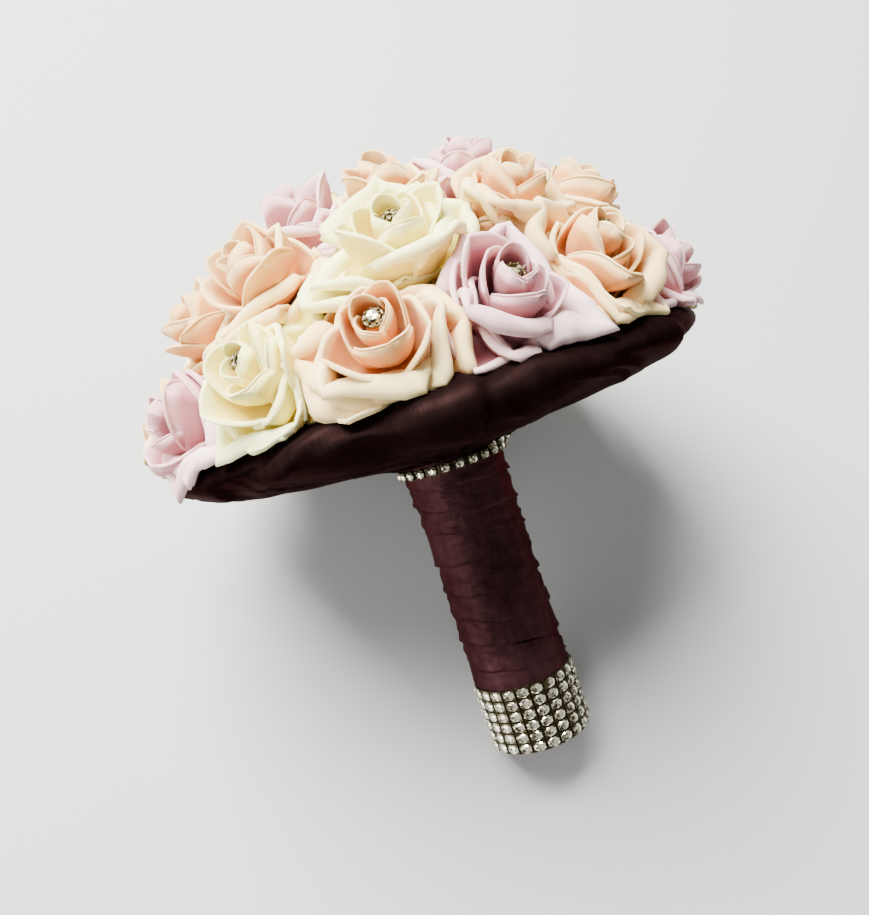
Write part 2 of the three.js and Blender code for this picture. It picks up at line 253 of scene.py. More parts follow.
@dataclass(frozen=True)
class Foam:
    """Thin craft foam: matt, with a fine grain, paler heat-curled rims that are painted highlight and
    deeper colour in the pockets that is painted shade.
    """

    name: str
    petal: Colour
    rim: Colour
    pocket_shade: Colour

    def material(self) -> bpy.types.Material:
        """Builds the material.

        Returns:
            The foam's material.
        """
        graph = Graph(self.name)
        rim = graph.attribute("rim")
        depth = graph.attribute("depth")
        tone = graph.attribute("tone")
        cloudy = graph.noise(90.0, 4.0)
        grain = graph.noise(2600.0, 2.0)
        # Painted shade: the pockets' colour spreads up from each petal's base; painted highlight: the rim
        # colour on the rolled lips.
        colour = graph.mix(depth * (0.75 + 0.5 * cloudy), self.petal, self.pocket_shade)
        colour = graph.mix((rim * (0.8 + 0.4 * cloudy)).clamped(), colour, self.rim)
        shade = tuple(channel * 0.86 for channel in self.petal)
        colour = graph.mix((tone * 0.35 + grain * 0.12).clamped(), colour, shade)
        soft = graph.noise(420.0, 4.0)
        graph.set(
            Base_Color=colour,
            Roughness=0.72 + 0.16 * grain,
            Normal=graph.bump(0.55 * grain + 0.45 * soft, 0.00035, 0.5),
            Specular_IOR_Level=0.25,
            Sheen_Weight=0.08,
            Sheen_Roughness=0.6,
            Subsurface_Weight=0.12,
            Subsurface_Radius=(1.0, 0.55, 0.35),
            Subsurface_Scale=0.0025,
        )
        return graph.material


@dataclass(frozen=True)
class Satin:
    """Dark plum polyester satin: a soft broad sheen, fine weft lines and faint pulls across them; its colour
    blends a deep and a lit tone in soft patches, painted shade and painted sheen.
    """

    name: str
    deep: Colour
    lit: Colour
    thread: float
    roughness: float

    def material(self) -> bpy.types.Material:
        """Builds the material on the cloth's UV map, whose unit is 100 mm.

        Returns:
            The satin's material.
        """
        graph = Graph(self.name)
        weft = graph.noise(self.thread, 2.0, (0.06, 1.0, 1.0), uv=True)
        pulls = graph.noise(26.0, 5.0, (0.25, 1.0, 1.0), uv=True)
        cloudy = graph.noise(34.0, 3.0)
        # Painted shade and sheen: soft patches, weft and pulls blend the deep tone into the lit one.
        share = (0.55 * cloudy + 0.3 * pulls + 0.2 * weft).ramp(0.28, 0.82)
        graph.set(
            Base_Color=graph.mix(share, self.deep, self.lit),
            Roughness=self.roughness - 0.08 + 0.14 * pulls + 0.06 * weft,
            Normal=graph.bump(0.35 * weft + 0.65 * pulls, 0.0006, 0.45),
            Metallic=0.4,
            Specular_IOR_Level=0.0,
            Specular_Tint=(0.45, 0.33, 0.32, 1.0),
            Sheen_Weight=0.015,
            Sheen_Roughness=0.35,
            Sheen_Tint=(0.9, 0.35, 0.38, 1.0),
        )
        return graph.material


@dataclass(frozen=True)
class Stone:
    """Foil-backed cut stones under a clear hard surface: each facet has its own brightness, painted glints
    and painted dark reflections.
    """

    name: str
    dim: Colour
    bright: Colour
    metal: float
    coat: float

    def material(self) -> bpy.types.Material:
        """Builds the material.

        Returns:
            The stones' material.
        """
        graph = Graph(self.name)
        facet = graph.attribute("facet")
        cloudy = graph.noise(900.0, 2.0)
        graph.set(
            Base_Color=graph.mix((facet * 0.9 + cloudy * 0.2).ramp(0.35, 0.75), self.dim, self.bright),
            Metallic=self.metal + 0.3 * facet,
            Roughness=0.07 + 0.12 * cloudy,
            Normal=graph.bump(cloudy, 0.00005, 0.4),
            Coat_Weight=self.coat + 0.4 * facet,
            Coat_Roughness=0.03,
        )
        return graph.material


@dataclass(frozen=True)
class Setting:
    """Pale gold-plated metal of the stones' cups, with painted shade: duller and browner in its recesses,
    where its facet number is low.
    """

    name: str
    recess_shade: Colour
    plated: Colour

    def material(self) -> bpy.types.Material:
        """Builds the material.

        Returns:
            The metal's material.
        """
        graph = Graph(self.name)
        cloudy = graph.noise(700.0, 4.0)
        facet = graph.attribute("facet")
        # Painted shade: a low facet number darkens the plating towards the recess shade.
        graph.set(
            Base_Color=graph.mix((facet * 0.7 + cloudy * 0.5).ramp(0.2, 0.95), self.recess_shade, self.plated),
            Metallic=0.75 + 0.2 * cloudy,
            Roughness=0.24 + 0.24 * cloudy,
            Normal=graph.bump(cloudy, 0.0001, 0.5),
        )
        return graph.material


@dataclass(frozen=True)
class StemPaper:
    """Waxed paper tape wound round the wire stems: dull green, with lapped turns as fine rings."""

    name: str
    shade: Colour
    paper: Colour

    def material(self) -> bpy.types.Material:
        """Builds the material.

        Returns:
            The stems' material.
        """
        graph = Graph(self.name)
        turns = graph.noise(260.0, 3.0, (0.5, 1.0, 2.5))
        cloudy = graph.noise(60.0, 4.0)
        graph.set(
            Base_Color=graph.mix((0.6 * turns + 0.4 * cloudy).ramp(0.3, 0.7), self.shade, self.paper),
            Roughness=0.62 + 0.2 * turns,
            Normal=graph.bump(turns, 0.0004, 0.7),
        )
        return graph.material


@dataclass(frozen=True)
class Paper:
    """The plain pale surface that the posy lies on."""

    name: str
    tone: Colour

    def material(self) -> bpy.types.Material:
        """Builds the material.

        Returns:
            The surface's material.
        """
        graph = Graph(self.name)
        cloudy = graph.noise(3.0, 3.0)
        darker = tuple(channel * 0.96 for channel in self.tone)
        graph.set(Base_Color=graph.mix(cloudy, darker, self.tone), Roughness=0.75 + 0.1 * cloudy)
        return graph.material


class Tint(Enum):
    """The foam's colours, by the names that the record's material slots use."""

    PEACH = "peach_foam"
    IVORY = "ivory_foam"
    LILAC = "lilac_foam"


# Each foam: its own colour, the painted highlight of its rims, and the painted shade of its pockets.
FOAMS = {
    Tint.PEACH: Foam("peach_foam", linear(228, 166, 98), linear(255, 229, 162), linear(188, 106, 46)),
    Tint.IVORY: Foam("ivory_foam", linear(255, 243, 132), linear(255, 253, 190), linear(244, 210, 88)),
    Tint.LILAC: Foam("lilac_foam", linear(198, 134, 138), linear(246, 212, 207), linear(130, 65, 72)),
}
# Each satin's deep and lit tones, painted shade and painted sheen, its thread scale and roughness.
COLLAR_SATIN = Satin("collar_satin", linear(12, 8, 8), linear(38, 27, 26), 320.0, 0.4)
RIBBON_SATIN = Satin("ribbon_satin", linear(25, 12, 14), linear(80, 52, 54), 320.0, 0.33)
# The stones' dim and bright colours: painted dark reflections and painted glints on their facets.
PIN_STONE = Stone("pin_stones", linear(44, 37, 16), linear(214, 202, 152), 0.45, 0.0)
CUT_STONE = Stone("cut_stones", linear(58, 50, 26), linear(255, 249, 218), 0.62, 0.35)
# The plated gold, and the painted shade of its recesses.
GILT = Setting("gilt_cups", linear(26, 21, 12), linear(132, 119, 84))
STEM_PAPER = StemPaper("stem_paper", linear(34, 46, 24), linear(66, 84, 46))
PALE_PAPER = Paper("pale_paper", linear(184, 184, 181))


# Meshes


def make_piece(
    name: str, points: Array, faces: Array, finishes: list[bpy.types.Material], values: dict[str, Array],
    smooth: Array | bool = True, slots: Array | None = None, uv: Array | None = None,
) -> bpy.types.Object:
    """Puts computed points and quads into a mesh object at the origin.

    Args:
        name: the piece's name.
        points: (n, 3) places in metres.
        faces: (m, 4) corners; a triangle repeats its last corner.
        finishes: its materials.
        values: numbers on the points, by attribute name.
        smooth: whether it, or each face, is shaded smooth.
        slots: each face's material.
        uv: (n, 2) cloth coordinates.

    Returns:
        The new object.
    """
    corners = np.where(faces[:, 3] == faces[:, 2], 3, 4)
    loops = faces[np.arange(4)[None, :] < corners[:, None]]
    mesh = bpy.data.meshes.new(name)
    mesh.vertices.add(len(points))
    mesh.vertices.foreach_set("co", points.astype(np.float32).ravel())
    mesh.loops.add(len(loops))
    mesh.loops.foreach_set("vertex_index", loops.astype(np.int32))
    mesh.polygons.add(len(faces))
    mesh.polygons.foreach_set("loop_start", np.concatenate([[0], np.cumsum(corners)[:-1]]).astype(np.int32))
    mesh.polygons.foreach_set("use_smooth", np.array(np.broadcast_to(smooth, (len(faces),))))
    if slots is not None:
        mesh.polygons.foreach_set("material_index", slots.astype(np.int32))
    for key, numbers in values.items():
        attribute = mesh.attributes.new(key, "FLOAT", "POINT")
        attribute.data.foreach_set("value", numbers.astype(np.float32).ravel())
    mesh.update(calc_edges=True)
    if uv is not None:
        mesh.uv_layers.new(name="cloth").data.foreach_set("uv", uv[loops].astype(np.float32).ravel())
    for finish in finishes:
        mesh.materials.append(finish)
    made = bpy.data.objects.new(name, mesh)
    bpy.context.scene.collection.objects.link(made)
    log.info("%s: %d points, %d faces", name, len(points), len(faces))
    return made


def grid_faces(rows: int, columns: int, around: bool = False) -> Array:
    """Quads between neighbouring rows and columns of points numbered row by row.

    Args:
        rows: how many rows.
        columns: how many points in a row.
        around: whether the last column joins the first.

    Returns:
        (m, 4) corners.
    """
    i, j = np.meshgrid(np.arange(rows - 1), np.arange(columns - (0 if around else 1)), indexing="ij")
    k = (j + 1) % columns
    quads = np.stack([i * columns + j, i * columns + k, (i + 1) * columns + k, (i + 1) * columns + j], -1)
    return quads.reshape(-1, 4)


def grid_normals(surface: Array, around: bool = False) -> Array:
    """Unit normals of a grid of points: the cross product of its differences along its columns and rows.

    Args:
        surface: (rows, columns, 3) points.
        around: whether the last column joins the first.

    Returns:
        (rows, columns, 3) normals.
    """
    across = (np.roll(surface, -1, 1) - np.roll(surface, 1, 1)) if around else np.gradient(surface, axis=1)
    along = np.gradient(surface, axis=0)
    normal = np.cross(across, along)
    return normal / (np.linalg.norm(normal, axis=-1, keepdims=True) + 1e-9)


def shell(surface: Array, thickness: Array, around: bool = False) -> tuple[Array, Array]:
    """A closed wall round a sheet: the sheet moved half its thickness to each side, joined at its borders.

    Args:
        surface: (rows, columns, 3) points of the sheet's middle.
        thickness: (rows, columns) wall thickness, or (1, 1) for an even one.
        around: whether the last column joins the first.

    Returns:
        Points and faces. The first half of the points is the side that the normals point to.
    """
    rows, columns = surface.shape[:2]
    offset = grid_normals(surface, around) * thickness[..., None] / 2
    points = np.concatenate([(surface + offset).reshape(-1, 3), (surface - offset).reshape(-1, 3)])
    front = grid_faces(rows, columns, around)
    count = rows * columns
    number = np.arange(count).reshape(rows, columns)
    borders = [number[0, ::-1], number[-1]] + ([] if around else [number[:, 0], number[::-1, -1]])
    walls = []
    for line in borders:
        start, end = (line, np.roll(line, -1)) if around else (line[:-1], line[1:])
        walls.append(np.stack([start, start + count, end + count, end], -1)[:, ::-1])
    return points, np.concatenate([front, front[:, ::-1] + count, *walls])


def polar(radius: Any, angle: Array, height: Any) -> Array:
    """Points round the axis: (radius cos angle, radius sin angle, height)."""
    return np.stack(np.broadcast_arrays(radius * np.cos(angle), radius * np.sin(angle), height), -1)


def lathe(profile: Profile, sides: int, turn: float = 0.0) -> tuple[Array, Array]:
    """A closed body of revolution: each profile point (radius, height) is carried once round the axis.

    Args:
        profile: from the axis at the bottom, outside, to the axis at the top.
        sides: points round the axis.
        turn: angle of the first one.

    Returns:
        Points and faces, with a fan of triangles at each end on the axis.
    """
    ring = np.array([point for point in profile if point[0] > 0])
    angle = turn + np.arange(sides) / sides * 2 * np.pi
    body = polar(ring[:, :1], angle, ring[:, 1:]).reshape(-1, 3)
    points = np.concatenate([body, [[0, 0, profile[0][1]], [0, 0, profile[-1][1]]]])
    first = np.arange(sides)
    then, top = (first + 1) % sides, len(body) - sides
    fans = [(then, first, len(body)), (top + first, top + then, len(body) + 1)]
    fans = [np.stack(np.broadcast_arrays(start, end, pole, pole), -1) for start, end, pole in fans]
    return points, np.concatenate([grid_faces(len(ring), sides, True), *fans])


def declare(made: bpy.types.Object, slot: str, *solids: str) -> None:
    """Hides the solids that a piece stands for, and makes it ride on the one body.

    Args:
        made: the piece.
        slot: not used.
        solids: the solids' nodes.
    """
    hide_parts(*solids)
    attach(made, "root")


@dataclass
class Batch:
    """Gathers parts of one piece: their points, faces, material slots and numbers on the points."""

    points: list[Array] = field(default_factory=list)
    faces: list[Array] = field(default_factory=list)
    slots: list[Array] = field(default_factory=list)
    smooth: list[Array] = field(default_factory=list)
    values: dict[str, list[Array]] = field(default_factory=dict)
    count: int = 0

    def add(self, points: Array, faces: Array, slot: int = 0, smooth: bool = True, **values: Any) -> None:
        """Adds one part.

        Args:
            points: its points.
            faces: its faces.
            slot: its material.
            smooth: whether it is shaded smooth.
            values: numbers on its points, or one for all of them.
        """
        self.points.append(points)
        self.faces.append(faces + self.count)
        self.slots.append(np.full(len(faces), slot))
        self.smooth.append(np.full(len(faces), smooth))
        for key, numbers in values.items():
            self.values.setdefault(key, []).append(np.broadcast_to(numbers, (len(points),)))
        self.count += len(points)

    def piece(self, name: str, place: Any, finishes: list[bpy.types.Material]) -> bpy.types.Object:
        """Makes the gathered parts into one piece.

        Args:
            name: the piece's name.
            place: turns points of the posy's frame into metres.
            finishes: its materials.

        Returns:
            The piece.
        """
        values = {key: np.concatenate(parts) for key, parts in self.values.items()}
        points, faces = place(np.concatenate(self.points)), np.concatenate(self.faces)
        smooth, slots = np.concatenate(self.smooth), np.concatenate(self.slots)
        return make_piece(name, points, faces, finishes, values, smooth, slots)


def smooth_step(low: float, high: float, x: Array) -> Array:
    """0 below low, 1 above high, and 3t^2 - 2t^3 between them."""
    t = np.clip((x - low) / (high - low), 0, 1)
    return t * t * (3 - 2 * t)


# The posy's layout


@dataclass(frozen=True)
class Bloom:
    """One foam rose: its place and axes, its colour, how far it presses its neighbours, and its turn."""

    number: int
    radius: float
    tint: Tint
    press: float
    base: Array
    axes: Array
    turn: float

    def middle(self, height: float) -> Array:
        """A point on the bloom's axis, in the posy's frame."""
        return self.base + self.axes[2] * height

    def outward(self, points: Array) -> Array:
        """Points of the bloom's frame in the posy's."""
        return points @ self.axes + self.base


@dataclass
class Posy:
    """The whole posy's layout, the same as its solids': how it lies, its dome and where each bloom is.

    PLACES holds each bloom's azimuth in degrees, its crystal's distance from the axis, its colour, and how
    many millimetres it presses its petals over its neighbours'; SWINGS turns single blooms further.
    """

    lie_angle: float = 30.6
    middle: tuple[float, float] = (-2.13, 2.42)
    neck_rise: float = 83.1103
    dome_top: float = 119
    dome_drop: float = 60
    dome_radius: float = 108
    dome_power: float = 2.8
    crystal_height: float = 28.5
    share_height: float = 17
    turn_range: float = 72

    PLACES = (
        (-14, 108, "P", 4), (11, 108, "L", 7), (37.5, 104, "P", 1), (65, 112, "L", 7), (98, 109, "I", 0),
        (131, 109, "P", 0), (163.5, 112, "L", 0), (196, 112, "P", 0), (228.5, 109, "L", 0),
        (261, 113, "P", 0), (293, 112, "L", 0), (319.5, 107, "I", -6), (-5, 84, "I", 5), (34, 78, "P", 1),
        (61, 86, "P", 0), (98, 80, "L", 0), (134, 80, "P", 0), (171, 80, "I", 0), (208, 80, "P", 0),
        (244, 80, "I", 0), (281, 86, "P", 0), (309, 76, "P", 2), (-1, 52, "P", 0), (49, 48, "L", 0),
        (132, 30, "P", 0), (222, 30, "I", 0), (303, 42, "L", 0),
    )
    SWINGS = {1: 51, 2: -24, 3: 22}
    TINTS = {"P": Tint.PEACH, "I": Tint.IVORY, "L": Tint.LILAC}

    def turned(self) -> Array:
        """The rotation that lays the posy down, about X.

        Returns:
            (3, 3) matrix.
        """
        angle = -math.radians(90 - self.lie_angle)
        cos, sin = math.cos(angle), math.sin(angle)
        return np.array([[1, 0, 0], [0, cos, -sin], [0, sin, cos]])

    def place(self, points: Array) -> Array:
        """Points of the posy's frame, in millimetres, where they lie in the frame's space, in metres."""
        offset = np.array([-self.middle[0], -self.middle[1], self.neck_rise])
        return (points @ self.turned().T + offset) / 1000

    def rested(self, points: Array) -> Array:
        """As place, with what would sink into the surface pressed up to 0.05 mm above it."""
        short = np.maximum(0, 0.05 - self.depth(points))
        return self.place(points + short[..., None] * self.turned()[2])

    def depth(self, points: Array) -> Array:
        """Height of points above the surface that the posy lies on."""
        return points @ self.turned()[2] + self.neck_rise

    def blooms(self) -> list[Bloom]:
        """Lays the blooms square to the dome, which drops by drop * (r / radius) ^ power.

        Their turns are the solids' own draw, state = (times * state + plus) mod most.

        Returns:
            The blooms in order.
        """
        state, times, plus, most = 20.0, 1103515245.0, 12345.0, 2.0**31
        made = []
        for number, (azimuth, radius, letter, press) in enumerate(self.PLACES, 1):
            share = radius / self.dome_radius
            slope = self.dome_drop * self.dome_power * share ** (self.dome_power - 1) / self.dome_radius
            lean = math.atan(slope)
            a = math.radians(azimuth)
            out, side = np.array([math.sin(a), -math.cos(a), 0]), np.array([math.cos(a), math.sin(a), 0])
            facing = out * math.sin(lean) + np.array([0, 0, math.cos(lean)])
            top = out * radius + np.array([0, 0, self.dome_top - self.dome_drop * share**self.dome_power])
            state = math.fmod(state * times + plus, most)
            turn = state / most * self.turn_range + self.SWINGS.get(number, 0)
            axes = np.stack([side, np.cross(facing, side), facing])
            base = top - facing * self.crystal_height
            made.append(Bloom(number, radius, self.TINTS[letter], press, base, axes, turn))
        return made


# Foam roses


@dataclass(frozen=True)
class Ring:
    """One ring of petals, from the outside in.

    How many petals it has, its turn in degrees and its share of the bloom's own turn; a petal's half width
    in degrees, its tip's place on it, and how round the fall from the tip is; the (radius, height) path from
    base by belly to tip, and where the lip ends; how straight the lip is, how far one end tucks in and how
    far the tip stands out; the rolled rim's radius and angle; the wall, columns, rows of points, and sway.
    """

    count: int
    turn: float
    stray: float
    half_width: float
    peak: float
    rounding: float
    base: tuple[float, float]
    belly: tuple[float, float]
    tip: tuple[float, float]
    ends: tuple[float, float]
    straight: float
    tuck: float
    pinch: float
    curl: float
    curl_turn: float
    thick: float
    columns: int
    rows: int
    sway: float


@dataclass
class RoseBuilder:
    """Builds each foam rose from separate curled petals round a bud, crowded by its neighbours."""

    posy: Posy
    reach: float = 31.0
    widest: float = 34.5
    neighbour: float = 90.0
    gap: float = 0.4
    round_limit: float = 112.5
    ease: float = 6.0
    softness: float = 0.9
    hang: float = 5.0
    collar_fold: float = 1.3
    tip_length: float = 2.4
    dive: float = 1.6

    FLOOR = ((0, 31.4), (94, 31.4), (108.5, 28), (111.8, 24.5), (114, 19), (130, 0))
    RINGS = (
        Ring(
            4, 0, 1, 60, 0, 0.3, (6, 1), (26.5, 1), (29.5, 8.0), (25.6, 3.5),
            0.7, 1.3, 2.4, 2.1, 250, 1.6, 19, 17, 1.0,
        ),
        Ring(
            4, 45, 1, 62, 0, 0.3, (6, 3), (21.6, 4.5), (24.2, 15.0), (20.6, 8.5),
            0.7, 1.4, 2.6, 1.9, 250, 1.6, 19, 18, 0.9,
        ),
        Ring(
            3, 20, 0.6, 78, 0, 0.3, (6, 5), (19.5, 6.5), (21.6, 18.8), (17.0, 9),
            0.6, 1.1, 1.9, 1.5, 240, 1.5, 21, 17, 0.8,
        ),
        Ring(
            3, 62, 0.4, 86, 0, 0.5, (5.8, 8), (16.6, 11), (17.4, 25.4), (14.0, 8.5),
            0.3, 1.0, 0.5, 0.42, 170, 1.2, 21, 14, 0.6,
        ),
        Ring(
            3, 5, 0.3, 86, 0.1, 0.8, (5.6, 9), (13, 16), (11.9, 28.4), (10.2, 15),
            0.15, 0.9, 0.1, 0.32, 120, 1.1, 21, 12, 0.4,
        ),
        Ring(
            3, 62, 0.3, 84, 0.15, 0.6, (4.0, 16), (7.9, 21.5), (6.5, 31.0), (5.3, 26.0),
            0.08, 0.7, 0.0, 0.3, 90, 1.0, 19, 10, 0.25,
        ),
    )
    SPARES = (1.0, 1.5, 1.2, 0.6, 0.1, 0.0)
    LIFTS = (0.0, 0.4, 0.35, 0.3, 0.3, 0.3)
    CORE = (
        (0, 0.2), (4.6, 0.2), (6.6, 3.6), (6.0, 9.0), (5.2, 16.0), (4.0, 21.0), (3.3, 24.0), (3.1, 25.5),
        (0, 25.6),
    )

    def walls(self, bloom: Bloom, blooms: list[Bloom]) -> tuple[Array, Array]:
        """The planes between a bloom and its near neighbours, moved towards the one that gives way.

        Args:
            bloom: the bloom.
            blooms: all of them.

        Returns:
            The planes' normals in the bloom's frame, and their distances from its middle.
        """
        height = self.posy.share_height
        normals, far = [], []
        for other in blooms:
            away = other.middle(height) - bloom.middle(height)
            distance = float(np.linalg.norm(away))
            if other is not bloom and distance < self.neighbour:
                normals.append(bloom.axes @ away / distance)
                far.append((distance - self.gap + bloom.press - other.press) / 2)
        return np.array(normals), np.array(far)

    def crowd(self, points: Array, normals: Array, far: Array, number: int) -> Array:
        """Brings petals inside the bloom's share of the dome.

        Distances from the axis shrink by how near the nearest wall is, taken as a soft least of the walls'
        distances d, (sum of d^-10)^-0.1, and what is pushed in rises.

        Args:
            points: (..., 3) points in the bloom's frame.
            normals: the walls' normals.
            far: the walls' distances.
            number: the petal's ring, which sets how far rims press past a wall and how much they rise.

        Returns:
            The moved points.
        """
        reach = np.linalg.norm(points[..., :2], axis=-1)
        unit = points[..., :2] / (reach[..., None] + 1e-9)
        along = unit @ normals[:, :2].T
        room = far + self.SPARES[number] - (points[..., 2:] - self.posy.share_height) * normals[:, 2]
        limit = np.where(along > 0.05, np.maximum(room, 3) / np.maximum(along, 0.05), 1e3)
        limit = np.concatenate([limit, np.full(limit.shape[:-1] + (1,), self.widest)], -1)
        most = (limit**-10.0).sum(-1) ** -0.1
        scale = 1 + (most / self.reach - 1) * np.minimum(1, reach / self.reach)
        rise = self.LIFTS[number] * reach * np.maximum(0, 1 - scale)
        return np.concatenate([points[..., :2] * scale[..., None], (points[..., 2] + rise)[..., None]], -1)

    def droop(self, points: Array, bloom: Bloom) -> Array:
        """Lets the outer petals of the lowest blooms hang over the collar's edge.

        With w = (distance from the axis / reach)^2 * max(0, cos(angle from the collar's side))^1.5, a point
        moves out by droop w and down by the same.

        Args:
            points: (..., 3) points in the bloom's frame.
            bloom: the bloom.

        Returns:
            The moved points.
        """
        reach = np.linalg.norm(points[..., :2], axis=-1)
        share = (reach / self.reach) ** 2 * np.maximum(0, -points[..., 1] / (reach + 1e-9)) ** 1.5
        share = share * self.hang * float(smooth_step(96, 106, np.array(bloom.radius)))
        out = points[..., :2] / (reach + 1e-9)[..., None] * share[..., None]
        return points + np.concatenate([out, -share[..., None]], -1)

    def settle(self, points: Array, bloom: Bloom, margin: Array) -> Array:
        """Keeps petals within the posy's round, over the collar's edge and above the surface below.

        Past the limit a radius R becomes limit + e tanh((R - limit) / e) and what is held back rises. Where a
        rolled rim would sink into the collar the petal rises with it, by a share that grows from its base as
        (row / lip's row)^1.5. After that a height h over the collar becomes (h + sqrt(h^2 + 4 k^2)) / 2.

        Args:
            points: (rows, columns, 3) points in the bloom's frame.
            bloom: the bloom.
            margin: how far each point keeps clear.

        Returns:
            The points in the posy's frame.
        """
        points = bloom.outward(points)
        across = np.linalg.norm(points[..., :2], axis=-1)
        past = np.maximum(0, across - self.round_limit)
        kept = np.minimum(across, self.round_limit) + self.ease * np.tanh(past / self.ease)
        points[..., :2] *= (kept / across)[..., None]
        points[..., 2] += 0.5 * (across - kept)
        radii, heights = np.array(self.FLOOR).T
        lowest = np.interp(kept, radii, heights) + self.collar_fold + 0.2 + margin
        spare = points[..., 2] - lowest
        sunk = np.maximum(0, -spare).max(0)
        sunk = np.convolve(np.pad(sunk, 2, "edge"), [0.1, 0.2, 0.4, 0.2, 0.1], "valid")
        climb = np.minimum(1, np.arange(len(points)) / (0.55 * len(points)))[:, None] ** 1.5
        points[..., 2] += sunk * climb
        spare = spare + sunk * climb
        points[..., 2] = lowest + (spare + np.sqrt(spare**2 + 4 * self.softness**2)) / 2
        short = np.maximum(0, margin - self.posy.depth(points))
        return points + short[..., None] * self.posy.turned()[2]

    def petal(self, ring: Ring, index: int, bloom: Bloom, draw: np.random.RandomState) -> tuple[Array, ...]:
        """One petal's middle sheet in the bloom's frame.

        Across, a is the angle from the petal's tip, on a side w wide. In plan the lip runs from the tip's
        radius R to the end's E along the line 1 / r = (sin(w - a) / R + sin(a) / E) / sin(w), blended with
        R + (E - R) a / w, and it falls with a hyperbola of a / w. One end is tucked in, the other laid over
        the next petal, and both dive. Along, s climbs a quadratic curve from the base by the belly to the
        lip, then goes round a small circle, square to the lip, that rolls the rim out and under. The rim's
        pale colour, a painted highlight, starts just before the lip and fades on the shaded underside; the
        depth number paints shade, the colour of the pockets, strongest at the base.

        Args:
            ring: the petal's ring.
            index: which petal of it.
            bloom: the bloom.
            draw: the bloom's random numbers.

        Returns:
            Points, wall thickness, and the rim and depth numbers, each on the (rows, columns) grid.
        """
        jitter, tall, wide, shift, phase, pinch = draw.uniform(-1, 1, 6) * [ring.sway] * 6
        step = np.linspace(-1, 1, ring.columns)[None, :]
        peak = ring.peak + 0.12 * shift
        share = np.abs(step) ** 1.25
        u = peak + np.sign(step) * share * (1 - np.sign(step) * peak)
        side = np.radians(ring.half_width) * (1 - np.sign(step + 1e-9) * peak)
        off = side * share
        climb = int(ring.rows * 0.55)
        bend = ring.rows - climb
        s = np.concatenate([np.linspace(0, 1, climb), np.full(bend, 1.0)])[:, None]
        roll = np.concatenate([np.zeros(climb), np.linspace(0, 1, bend + 1)[1:]])[:, None]
        turn = -90 + ring.turn + (bloom.turn - 36) * ring.stray
        middle = math.radians(turn + 360 / ring.count * index + 8 * jitter)
        angle = middle + np.radians(ring.half_width) * u
        tip_r, end_r = ring.tip[0] * (1 + 0.05 * wide), ring.ends[0] * (1 + 0.03 * wide)
        line = np.sin(side) / (np.sin(side - off) / tip_r + np.sin(off) / end_r)
        lip_r = ring.straight * line + (1 - ring.straight) * (tip_r + (end_r - tip_r) * share)
        from_tip = off * lip_r
        point, dive = np.exp(-from_tip / self.tip_length), smooth_step(0.7, 1.0, share)
        laid = np.where(step > 0, np.minimum(share / 0.6, 1) - 2 * dive, -share)
        lip_r = lip_r + ring.tuck * laid + ring.pinch * point * (1 + 0.4 * pinch)
        waves = 0.55 * np.sin(2.6 * u + 4 * phase) + 0.3 * np.sin(6.1 * u + 7 * phase)
        c = ring.rounding
        fall = (np.sqrt(share**2 + c * c) - c) / (math.sqrt(1 + c * c) - c)
        lip_z = ring.tip[1] + 1.2 * tall + (ring.ends[1] - ring.tip[1]) * fall + 0.35 * ring.pinch * point
        lip_z = lip_z + ring.sway * waves - self.dive * dive
        belly_r = ring.belly[0] * (0.45 + 0.55 * lip_r / ring.tip[0])
        r = (1 - s) ** 2 * ring.base[0] + 2 * s * (1 - s) * belly_r + s**2 * lip_r
        z = (1 - s) ** 2 * ring.base[1] + 2 * s * (1 - s) * ring.belly[1] + s**2 * lip_z
        run_r, run_z = lip_r - belly_r, lip_z - ring.belly[1]
        length = np.hypot(run_r, run_z)
        run_r, run_z = run_r / length, run_z / length
        tangent = np.gradient(polar(lip_r, angle, 0.0)[..., :2], axis=1)
        square = np.stack([tangent[..., 1], -tangent[..., 0]], -1)
        square = square / np.linalg.norm(tangent, axis=-1, keepdims=True)
        slack = (1 - 0.8 * dive) * (1 - 0.35 * np.exp(-((from_tip / 1.5) ** 2)))
        sweep = np.radians(ring.curl_turn) * roll * slack
        fullness = 0.62 + 0.38 * smooth_step(0, 6, from_tip) + 0.16 * np.sin(3.3 * u + 5 * phase)
        size = ring.curl * (1 + 0.2 * pinch) * fullness
        go, over = size * np.sin(sweep), size * (1 - np.cos(sweep))
        surface = polar(r, angle, z + go * run_z - over * run_r)
        surface[..., :2] += (go * run_r + over * run_z)[..., None] * square
        border = np.clip((np.abs(step) - 0.9) / 0.1, 0, 1)
        end = np.clip((roll - 0.8) / 0.2, 0, 1)
        thick = ring.thick * np.sqrt(1 - 0.88 * border**2) * np.sqrt(1 - 0.8 * end**2)
        # Painted highlight on the rolled rim, stronger where it curls more, fading on its shaded underside
        # and where the petal dives.
        pale = 0.55 + 0.45 * min(1, ring.curl / 1.2)
        under = (roll > 0) * (1 - 0.6 * smooth_step(0.5, 0.8, roll))
        rim = np.maximum(smooth_step(0.88, 1.0, s), under) * pale * (1 - 0.5 * dive)
        return surface, thick, rim, (1 - s) ** 0.6 + 0 * u

    def build(self, bloom: Bloom, blooms: list[Bloom], finish: bpy.types.Material) -> None:
        """Builds one rose as a piece that stands for its solid.

        Args:
            bloom: the bloom.
            blooms: all of them.
            finish: the foam.
        """
        draw = np.random.RandomState(500 + bloom.number)
        normals, far = self.walls(bloom, blooms)
        batch = Batch()
        core, faces = lathe(self.CORE, 24)
